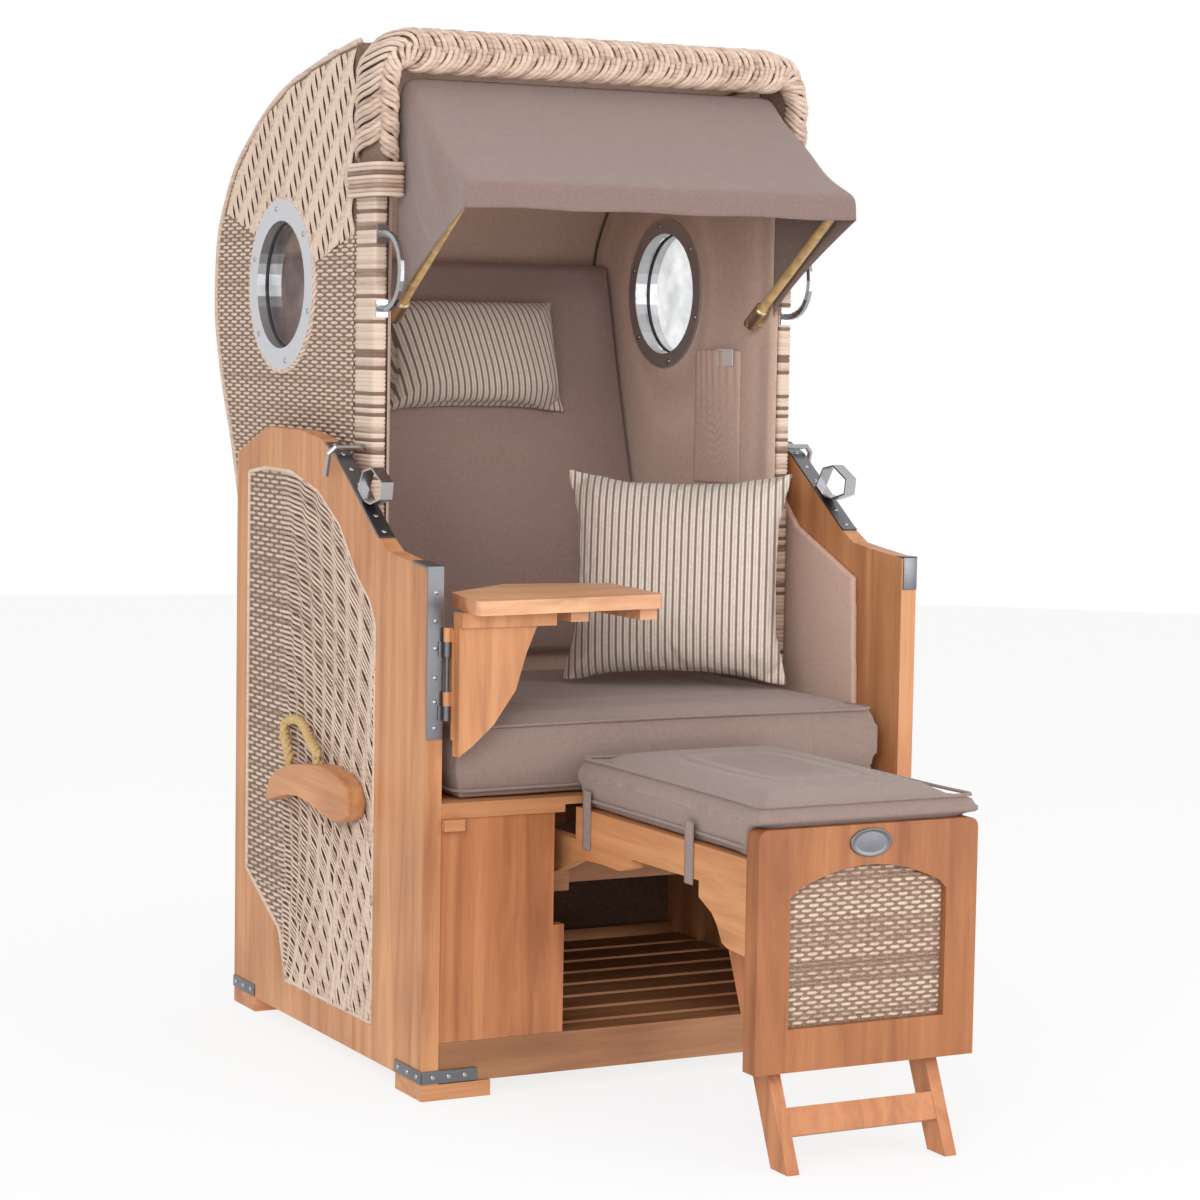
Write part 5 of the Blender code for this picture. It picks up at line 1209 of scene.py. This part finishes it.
    def braid(self) -> None:
        """A plait over the front edge: canes from the front and from the back meet in a ridge.

        A cane's point is the roll's centre plus its half sizes times a rounded section at an angle
        that runs from one edge to the ridge, while the place along the roll moves on. Rings of
        strand bind the posts below the plait's ends.
        """
        low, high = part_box("hood_braid")
        middle_y = (low.y + high.y) / 2
        deep = (high.y - low.y) / 2
        leg, beam = 0.024, 0.040
        side_x, top_z = high.x - leg, high.z - beam
        knots = [
            (-side_x, low.z), (-side_x, 1.52), (-side_x + 0.001, 1.585), (-side_x + 0.024, top_z - 0.004),
            (-side_x + 0.07, top_z), (-0.2, top_z), (0.0, top_z), (0.2, top_z), (side_x - 0.07, top_z),
            (side_x - 0.024, top_z - 0.004), (side_x - 0.001, 1.585), (side_x, 1.52), (side_x, low.z),
        ]
        path = smooth_path(knots, 500)
        run = distances(path)
        along = unit(np.gradient(path, axis=0))
        out = np.stack([-along[:, 1], along[:, 0]], axis=1)
        reach, fade = np.abs(path[:, 0]), 0.05
        width = np.where(
            reach > side_x - fade, leg + (beam - leg) * np.clip((side_x - reach) / fade, 0, 1), beam
        )

        def on_roll(s: np.ndarray, angle: np.ndarray, lift: np.ndarray) -> tuple[np.ndarray, np.ndarray]:
            """Point of the roll, and its outward direction."""
            px, pz, nx, nz, half = (np.interp(s, run, column) for column in (*path.T, *out.T, width))
            cos, sin = np.cos(angle), np.sin(angle)
            flat_y = -np.sign(cos) * np.abs(cos) ** 0.6 * (deep - 0.008 + lift)
            flat_n = np.sign(sin) * np.abs(sin) ** 0.6 * (half - 0.008 + lift)
            place = np.stack([px + nx * flat_n, middle_y + flat_y, pz + nz * flat_n], axis=-1)
            away = unit(np.stack([nx * sin, -cos, nz * sin], axis=-1))
            return place, away

        space, group, bundle = 0.0092, 4, 0.0405
        places = np.arange(0.0, run[-1] - bundle, bundle)[:, None] + np.arange(group) * space
        starts = places.ravel()
        t = np.linspace(0, 1, 12)
        step = np.arange(len(starts))
        rng = np.random.default_rng(3)
        is_leg = np.clip((reach - side_x + fade) / fade, 0, 1)
        paths, aways, tones = [], [], []
        lead, overshoot, beam_ridge, leg_turn = 0.046, 1.10, math.radians(4), math.radians(34)
        for first, shift in ((math.radians(-75), 0), (math.radians(172), group // 2)):
            phase = (step % group - (group - 1) / 2) / group
            ahead = np.clip(starts[:, None] + shift * bundle / group + lead * t, 0, run[-1])
            ridge = beam_ridge + leg_turn * np.interp(ahead, run, is_leg)
            angle = first + (ridge - first) * overshoot * t
            swell = 0.0056 * np.sin(math.pi * np.clip(t, 0, 1)) ** 0.8 - 0.010 * t**6
            lift = swell - 0.016 * phase[:, None] ** 2
            place, away = on_roll(ahead, angle, lift)
            paths.append(place)
            aways.append(away)
            tones.append(rng.uniform(0.24, 0.64, len(starts)))
        piece = tubes(
            "hood_plait", np.concatenate(paths), 0.0047, 0.0033, np.concatenate(aways), 6,
            np.concatenate(tones),
        )
        self.finishes.keep(piece, "strand", "hood", "wicker")
        s = np.linspace(0, run[-1], 180)[:, None]
        turn = np.linspace(0, math.tau, 32, endpoint=False)[None]
        core, _ = on_roll(s + 0 * turn, turn + 0 * s, np.full((180, 32), -0.0045))
        ends = [np.broadcast_to(core[k].mean(axis=0), (1, 32, 3)) for k in (0, -1)]
        core = np.concatenate([ends[0], core, ends[1]])
        roll = outward(new_object("hood_plait_core", core, grid_faces(182, 32, around=True)))
        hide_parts("hood_braid")
        # The core is dark brown: painted shade seen between the plait's canes.
        self.finishes.keep(roll, "strand_back", "hood", "wicker")
        angle = np.linspace(0, math.tau, 41)[None, :]
        level = (low.z - 0.034 + 0.0068 * np.arange(8))[:, None]
        for side, way in SIDES:
            wide, depth = leg + 0.002, deep + 0.001
            ring = np.stack([
                way * side_x + wide * np.sign(np.cos(angle)) * np.abs(np.cos(angle)) ** 0.35 + 0 * level,
                middle_y + depth * np.sign(np.sin(angle)) * np.abs(np.sin(angle)) ** 0.35 + 0 * level,
                level + 0 * angle,
            ], axis=-1)
            away = ring - np.array([way * side_x, middle_y, 0])
            away[..., 2] = 0
            band = tubes(
                f"hood_collar_{side}", ring, 0.0036, 0.0032, unit(away), 8, rng.uniform(0.1, 0.9, len(ring))
            )
            self.finishes.keep(band, "strand_striped", "hood", "wicker")

    def lining_side(self, side: str, way: int) -> None:
        """Lining of one side: rings that grow from the porthole to the panel's edge, with a soft swell."""
        centre = np.array(self.port)
        rear, _ = self.line(400, 0.029)
        rear = rear[(rear[:, 1] > self.lining_low) & (rear[:, 0] > self.post_back)]
        front, behind, notch = self.front + 0.003, self.post_back + 0.001, 1.4285
        edge = np.vstack([
            [front, self.lining_low], [front, notch], [behind, notch], [behind, rear[0, 1]], rear,
            [rear[-1, 0], self.lining_low], [front, self.lining_low],
        ])
        run = distances(edge)
        even = np.linspace(0, run[-1], 160)
        rim = np.stack([np.interp(even, run, edge[:, 0]), np.interp(even, run, edge[:, 1])], axis=1)
        way_out = rim - centre
        near = centre + unit(way_out) * 0.1175
        t = np.linspace(0, 1, 36)[:, None, None]
        flat = near[None] + (rim - near)[None] * t
        swell = 0.0012 * np.sin(math.pi * t[..., 0]) ** 0.5
        roll = -0.008 * np.clip((t[..., 0] - 0.97) / 0.03, 0, 1) ** 2
        x = way * (self.inner - swell - roll)
        points = from_front(x, flat[..., 0], flat[..., 1])
        piece = new_object(f"lining_side_{side}", points, grid_faces(36, 160))
        outward(piece)
        self.finishes.keep(piece, "lining_cloth", "hood", "lining")

    def lining_roof(self) -> None:
        """Lining of roof and back: the outer line drawn in, carried across the hood, with hem and piping."""
        line, out = self.line(220, 0.0273)
        keep = line[:, 1] > self.lining_low
        line, out = line[keep], out[keep]
        x = np.linspace(-self.inner, self.inner, 60)[:, None]
        sag = 0.004 * (1 - (x / self.inner) ** 8)
        y = line[None, :, 0] - out[None, :, 0] * sag
        z = line[None, :, 1] - out[None, :, 1] * sag
        points = from_front(x, y, z)
        piece = outward(new_object("lining_roof", points, grid_faces(60, len(line))))
        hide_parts("hood_lining")
        self.finishes.keep(piece, "lining_cloth", "hood", "lining")
        hem = rounded_block(
            "lining_hem", (-self.inner, FRONT + 0.767, 0.553), (self.inner, FRONT + 0.776, 0.612), 0.004
        )
        self.finishes.keep(hem, "lining_cloth", "hood", "lining")
        for side, way in SIDES:
            base = from_front(way * (self.inner - 0.0015), line[:, 0], line[:, 1])
            cord = tubes(f"lining_piping_{side}", base[None], 0.0022, 0.0022, np.array([1.0, 0, 0]), 8)
            self.finishes.keep(cord, "cushion_cloth", "hood", "lining")

    def pocket(self) -> None:
        """A pocket on the right lining: a panel that swells, gathered at its mouth, with a bare tag."""
        u = np.linspace(0, 1, 48)[:, None]
        v = np.linspace(0, 1, 40)[None, :]
        y = 0.44 + 0.16 * u + 0 * v
        z = 0.92 + 0.235 * v + 0 * u
        swell = 0.012 * (np.sin(math.pi * u) ** 0.6) * (0.25 + 0.75 * v) * np.minimum(v * 8, 1)
        gather = 0.0016 * np.sin(u * math.tau * 7) * v**3
        x = self.inner - 0.0015 - swell - gather
        points = from_front(x, y, z)
        piece = outward(new_object("lining_pocket", points, grid_faces(48, 40)))
        solid = piece.modifiers.new("Thickness", "SOLIDIFY")
        solid.thickness = 0.0016
        self.finishes.keep(piece, "lining_cloth", "hood", "lining")
        tag = rounded_block(
            "pocket_tag", (self.inner - 0.0135, FRONT + 0.452, 1.128),
            (self.inner - 0.0105, FRONT + 0.508, 1.158), 0.0012,
        )
        self.finishes.keep(tag, "pillow_plain", "hood", "lining")


@dataclass
class SoftGoods:
    """Cushions and pillows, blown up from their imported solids."""

    finishes: Finishes
    voxel: float = 0.006
    frames: int = 20
    seam_height: float = 0.014
    fine_limit: int = 15000
    drawn_in: float = 0.0015

    def build(self) -> None:
        """Make the five soft pieces."""
        plan = (
            ("seat_cushion", "cushion_cloth", "chair", "cushion", 0.004, 0.85),
            ("back_cushion", "back_cloth", "hood", "cushion", 0.004, 0.8),
            ("footrest_cushion", "cushion_cloth", "footrest", "cushion", 0.004, 0.8),
            ("square_pillow", "pillow_cloth", "chair", "stripes", 0.016, 0.6),
            ("neck_pillow", "neck_cloth", "hood", "stripes", 0.012, 0.6),
        )
        for node, finish, body, slot, cap, fill in plan:
            piece = self.blown(node, cap)
            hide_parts(node)
            self.finishes.keep(piece, finish, body, slot)
            if finish == "cushion_cloth":
                self.seams(piece, node, finish, body)
            if node == "footrest_cushion":
                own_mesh(piece)

    def seams(self, piece: bpy.types.Object, node: str, finish: str, body: str) -> None:
        """Piping along a cushion's two outlines.

        A cord's point lies, in each of 200 directions from the cushion's middle, at the farthest point
        of the blown piece in a thin layer; the distances are evened out along the cord.

        Args:
            piece: the blown cushion.
            node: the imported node.
            finish: its material's name.
            body: the body that it rides on.
        """
        low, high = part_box(node)
        points = vertex_values(piece.data, "co")
        middle = np.array([(low.x + high.x) / 2, (low.y + high.y) / 2])
        half = np.array([(high.x - low.x) / 2, (high.y - low.y) / 2])
        away = (points[:, :2] - middle) / half
        count = 200
        turn = (np.arctan2(away[:, 1], away[:, 0]) % math.tau) / math.tau * count
        cords = []
        for level in (low.z + self.seam_height, high.z - self.seam_height):
            layer = np.abs(points[:, 2] - level) < self.voxel * 1.5
            reach = np.zeros(count)
            np.maximum.at(reach, turn[layer].astype(int) % count, np.linalg.norm(away[layer], axis=1))
            smooth = (np.roll(reach, 1) + 2 * reach + np.roll(reach, -1)) / 4
            angle = (np.arange(count + 1) + 0.5) / count * math.tau
            ring = np.stack([np.cos(angle), np.sin(angle)], axis=1) * np.append(smooth, smooth[0])[:, None]
            cords.append(np.concatenate([middle + ring * half, np.full((count + 1, 1), level)], axis=1))
        out = np.concatenate([ring, np.zeros((count + 1, 1))], axis=1)
        cord = tubes(f"{node}_piping", np.stack(cords), 0.0026, 0.0026, out[None], 8)
        self.finishes.keep(cord, finish, body, "cushion")
        if node == "footrest_cushion":
            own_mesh(cord)

    def blown(self, node: str, cap: float) -> bpy.types.Object:
        """Copy a node, remesh it, let it swell as cloth and cap the swelling.

        Args:
            node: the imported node.
            cap: the most that a point may move.

        Returns:
            The soft piece.
        """
        copy = placed(f"{node}_soft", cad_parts[node].data.copy())
        outward(copy)
        remesh = copy.modifiers.new("Remesh", "REMESH")
        remesh.mode = "VOXEL"
        remesh.voxel_size = self.voxel
        graph = bpy.context.evaluated_depsgraph_get()
        mesh = bpy.data.meshes.new_from_object(copy.evaluated_get(graph))
        copy.modifiers.clear()
        copy.data = mesh
        rest = vertex_values(mesh, "co")
        start = rest - vertex_values(mesh, "normal") * self.drawn_in
        mesh.vertices.foreach_set("co", start.ravel())
        moved = self.swell(copy)
        shift = moved - start
        length = np.linalg.norm(shift, axis=1, keepdims=True)
        start = start + shift * np.minimum(1.0, cap / np.maximum(length, 1e-9))
        low = rest.min(axis=0)[2]
        start[:, 2] = np.maximum(start[:, 2], low)
        mesh.vertices.foreach_set("co", start.astype(np.float32).ravel())
        mesh.shade_smooth()
        if len(rest) < self.fine_limit:
            refine = copy.modifiers.new("Refine", "SUBSURF")
            refine.levels = 1
            refine.render_levels = 1
        return copy

    def swell(self, piece: bpy.types.Object) -> np.ndarray:
        """Run the cloth simulation and return where the points end."""
        cloth = piece.modifiers.new("Cloth", "CLOTH")
        settings = cloth.settings
        settings.quality = 3
        settings.mass = 0.3
        settings.tension_stiffness = 20
        settings.compression_stiffness = 20
        settings.bending_stiffness = 0.6
        settings.use_pressure = True
        settings.uniform_pressure_force = 4.0
        settings.effector_weights.gravity = 0
        scene = bpy.context.scene
        for number in range(1, self.frames + 1):
            scene.frame_set(number)
        graph = bpy.context.evaluated_depsgraph_get()
        points = vertex_values(piece.evaluated_get(graph).to_mesh(), "co")
        piece.modifiers.clear()
        scene.frame_set(1)
        return points


@dataclass
class Linings:
    """Cloth-covered boards inside the walls."""

    finishes: Finishes

    def build(self) -> None:
        """Soften each board's copy: a fine remesh whose edges are rounded by smoothing."""
        for side, _ in SIDES:
            node = f"side_lining_{side}"
            piece = placed(f"{node}_soft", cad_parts[node].data.copy())
            outward(piece)
            remesh = piece.modifiers.new("Remesh", "REMESH")
            remesh.mode = "VOXEL"
            remesh.voxel_size = 0.0045
            smooth = piece.modifiers.new("Soften", "SMOOTH")
            smooth.iterations = 3
            graph = bpy.context.evaluated_depsgraph_get()
            mesh = bpy.data.meshes.new_from_object(piece.evaluated_get(graph))
            piece.modifiers.clear()
            piece.data = mesh
            mesh.shade_smooth()
            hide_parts(node)
            self.finishes.keep(piece, "side_cloth", "chair", "lining")


@dataclass
class Awning:
    """Sun cloth from the beam to the bar, with cheeks and a hanging hem, and its arms' ferrules."""

    finishes: Finishes
    pivot: tuple[float, float] = (0.375, 1.203)
    length: float = 0.350
    rise: float = math.radians(34.3)
    beam: tuple[float, float] = (0.328, 1.5835)
    half: float = 0.351
    rear_low: float = 1.215
    hem: float = 0.042
    roof_end: float = 0.86
    roof_share: float = 0.62
    across: int = 161
    along: int = 61

    def build(self) -> None:
        """Make the cloth, and a ferrule at the foot of each arm."""
        self.cloth()
        along = np.array([0, -math.cos(self.rise), math.sin(self.rise)])
        for side, way in SIDES:
            start = np.array([way * 0.335, self.pivot[0] + FRONT, self.pivot[1]])
            path = start + along * np.linspace(-0.004, 0.045, 8)[:, None]
            cap = tubes(f"awning_ferrule_{side}", path[None], 0.0122, 0.0122, np.array([1.0, 0, 0]), 20)
            self.finishes.keep(cap, "brass", "awning", "steel")

    def cloth(self) -> None:
        """The cloth: a strip across the hood whose level falls from beam to bar, then hangs as a hem.

        Across, the middle part is the roof and the outer parts fall as cheeks; along, the roof sags
        between beam and bar, and shallow folds run from the corners.
        """
        bar_y = self.pivot[0] - self.length * math.cos(self.rise)
        bar_z = self.pivot[1] + self.length * math.sin(self.rise)
        hem_y = bar_y - 0.0145
        top_front = bar_z + 0.0125
        u = np.linspace(-1, 1, self.across)[:, None]
        v = np.linspace(0, 1, self.along)[None, :]
        run = np.clip(v / self.roof_end, 0, 1)
        hang = np.clip((v - self.roof_end) / (1 - self.roof_end), 0, 1)
        bow = 4 * run * (1 - run)
        y = self.beam[0] + (hem_y - self.beam[0]) * run + 0 * u
        top = self.beam[1] + (top_front - self.beam[1]) * run - 0.014 * bow
        low = self.rear_low + (top_front - self.hem - self.rear_low) * run**0.8
        roof = np.clip(np.abs(u) / self.roof_share, 0, 1)
        cheek = np.clip((np.abs(u) - self.roof_share) / (1 - self.roof_share), 0, 1)
        level = top - cheek * (top - low) - 0.006 * (1 - roof**2) * bow
        drop = hang * self.hem * (1 - cheek)
        pull = np.exp(-((run - 0.30 - 0.55 * cheek) / 0.16) ** 2)
        pull = pull - 0.6 * np.exp(-((run - 0.62 - 0.25 * cheek) / 0.10) ** 2)
        x = np.sign(u) * (self.half * roof + 0.010 * pull * np.sin(math.pi * cheek))
        fold = 0.0035 * np.sin(u * 17.0 + 3.0 * run) * (0.3 + hang) * (1 - cheek)
        crease = 0.004 * roof**3 * np.sin(run * 9.0 + 1.0) * bow * (1 - cheek)
        points = np.stack(
            [x + 0 * v, y - np.abs(fold) * hang + FRONT, level - drop - crease + fold * 0.3 * run], axis=-1
        )
        for _ in range(14):
            points[1:-1] = (points[:-2] + 2 * points[1:-1] + points[2:]) / 4
        for _ in range(5):
            points[:, 1:-1] = (points[:, :-2] + 2 * points[:, 1:-1] + points[:, 2:]) / 4
        piece = outward(new_object("sun_cloth", points, grid_faces(self.across, self.along)))
        solid = piece.modifiers.new("Thickness", "SOLIDIFY")
        solid.thickness = 0.0012
        solid.offset = 0.0
        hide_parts("awning_cloth")
        self.finishes.dress(piece, "sun_cloth")
        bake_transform(piece)


@dataclass
class Footrest:
    """The footrest's woven panel, bare plate and straps."""

    finishes: Finishes

    def build(self) -> None:
        """Weave the panel, and add the plate and the straps."""
        self.panel()
        self.plate()
        self.straps()

    def panel(self) -> None:
        """Rows over the panel's front, under an arch."""
        low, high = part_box("footrest_wicker")
        peak, spring = high.z, high.z - 0.030

        def edge(z: np.ndarray) -> np.ndarray:
            """Half the opening's width at a height."""
            share = np.clip((peak - z) / (peak - spring), 0, 1)
            return high.x * np.sqrt(share) - 0.002

        weave = Weave(row=0.0070, stake=0.0115, lift=0.0016, tone_low=0.02, tone_high=0.55, seed=9)
        piece = weave.rows_between(
            "footrest_strands", low.z + 0.002, high.z - 0.003, lambda z: -edge(z), edge,
            lambda x, z: np.stack([x, np.full_like(x, low.y + 0.0004), z], axis=-1),
            lambda x, z: toward((0, -1, 0), x),
            0.0, 110,
        )
        self.finishes.keep(piece, "strand", "footrest", "wicker")

    def plate(self) -> None:
        """A bare oval plate: rings of an oval that rise to a low dome with a raised rim."""
        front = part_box("footrest_frame")[0].y
        ring = np.array([0.0, 0.35, 0.70, 0.84, 0.90, 0.96, 1.0, 1.0])[:, None]
        lift = np.array([0.0026, 0.0025, 0.0022, 0.0021, 0.0034, 0.0034, 0.0024, 0.0])[:, None]
        angle = np.linspace(0, math.tau, 64, endpoint=False)
        points = np.stack([
            0.035 * ring * np.cos(angle), front - lift + 0 * angle, 0.464 + 0.0205 * ring * np.sin(angle)
        ], axis=-1)
        piece = outward(new_object("oval_plate", points, grid_faces(8, 64, around=True)))
        self.finishes.keep(piece, "dark_steel", "footrest", "steel")

    def straps(self) -> None:
        """Cloth straps from the cushion's sides down over the side boards."""
        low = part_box("footrest_cushion")[0]
        top, bottom = low.z + 0.030, low.z - 0.062
        z = np.linspace(top, bottom, 26)[None, :]
        for side, way in SIDES:
            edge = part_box(f"footrest_rail_{side}")[1 if way > 0 else 0].x
            for number, y in enumerate((-0.046, -0.372)):
                w = np.linspace(-0.0125, 0.0125, 6)[:, None]
                bulge = np.where(z > low.z, 0.0026, 0.0022)
                x = np.full_like(w + z, edge) + way * (bulge + 0 * w)
                points = np.stack([x, y + FRONT + w + 0 * z, z + 0 * w], axis=-1)
                piece = outward(new_object(f"pad_strap_{side}_{number}", points, grid_faces(6, 26)))
                solid = piece.modifiers.new("Thickness", "SOLIDIFY")
                solid.thickness = 0.0016
                self.finishes.keep(piece, "cushion_cloth", "footrest", "cushion")
                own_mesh(piece)


@dataclass
class Handles:
    """Laid ropes through the carrying grips."""

    finishes: Finishes
    route: tuple = (
        (0.0235, 0.500, 0.418), (0.0235, 0.500, 0.440), (0.0235, 0.500, 0.462), (0.0228, 0.513, 0.487),
        (0.0175, 0.540, 0.508), (0.0120, 0.545, 0.524), (0.0094, 0.520, 0.532), (0.0094, 0.492, 0.532),
        (0.0120, 0.461, 0.524), (0.0180, 0.424, 0.508), (0.0230, 0.385, 0.494), (0.0235, 0.378, 0.476),
        (0.0235, 0.378, 0.450), (0.0235, 0.378, 0.422),
    )
    radius: float = 0.009

    def build(self) -> None:
        """Lay the ropes."""
        for side, way in SIDES:
            points = [(way * (0.437 + x), y + FRONT, z) for x, y, z in self.route]
            path = smooth_path(points, 120)
            along = unit(np.gradient(path, axis=0))
            first = unit(np.cross(along, np.array([0.0, 0.3, 1.0])))
            second = np.cross(along, first)
            run = distances(path)
            turn = (run / 0.036 * math.tau)[:, None]
            strands = [
                path + (first * np.cos(turn + k) + second * np.sin(turn + k)) * self.radius * 0.47
                for k in (0.0, math.tau / 3, 2 * math.tau / 3)
            ]
            radius = self.radius * 0.52
            piece = tubes(f"rope_strands_{side}", np.stack(strands), radius, radius, first[None], 10)
            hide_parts(f"carry_rope_{side}")
            self.finishes.keep(piece, "rope", f"carry_{side}", "rope")


def main() -> None:
    """Build the studio and every part of the chair."""
    logging.basicConfig(level=logging.INFO, format="%(asctime)s %(name)s %(message)s")
    Studio().build()
    finishes = Finishes().build()
    for part in (Walls, Hood, Linings, Awning, Footrest, Handles, SoftGoods):
        part(finishes).build()
        LOG.info("%s built", part.__name__)


if __name__ == "__main__":
    main()
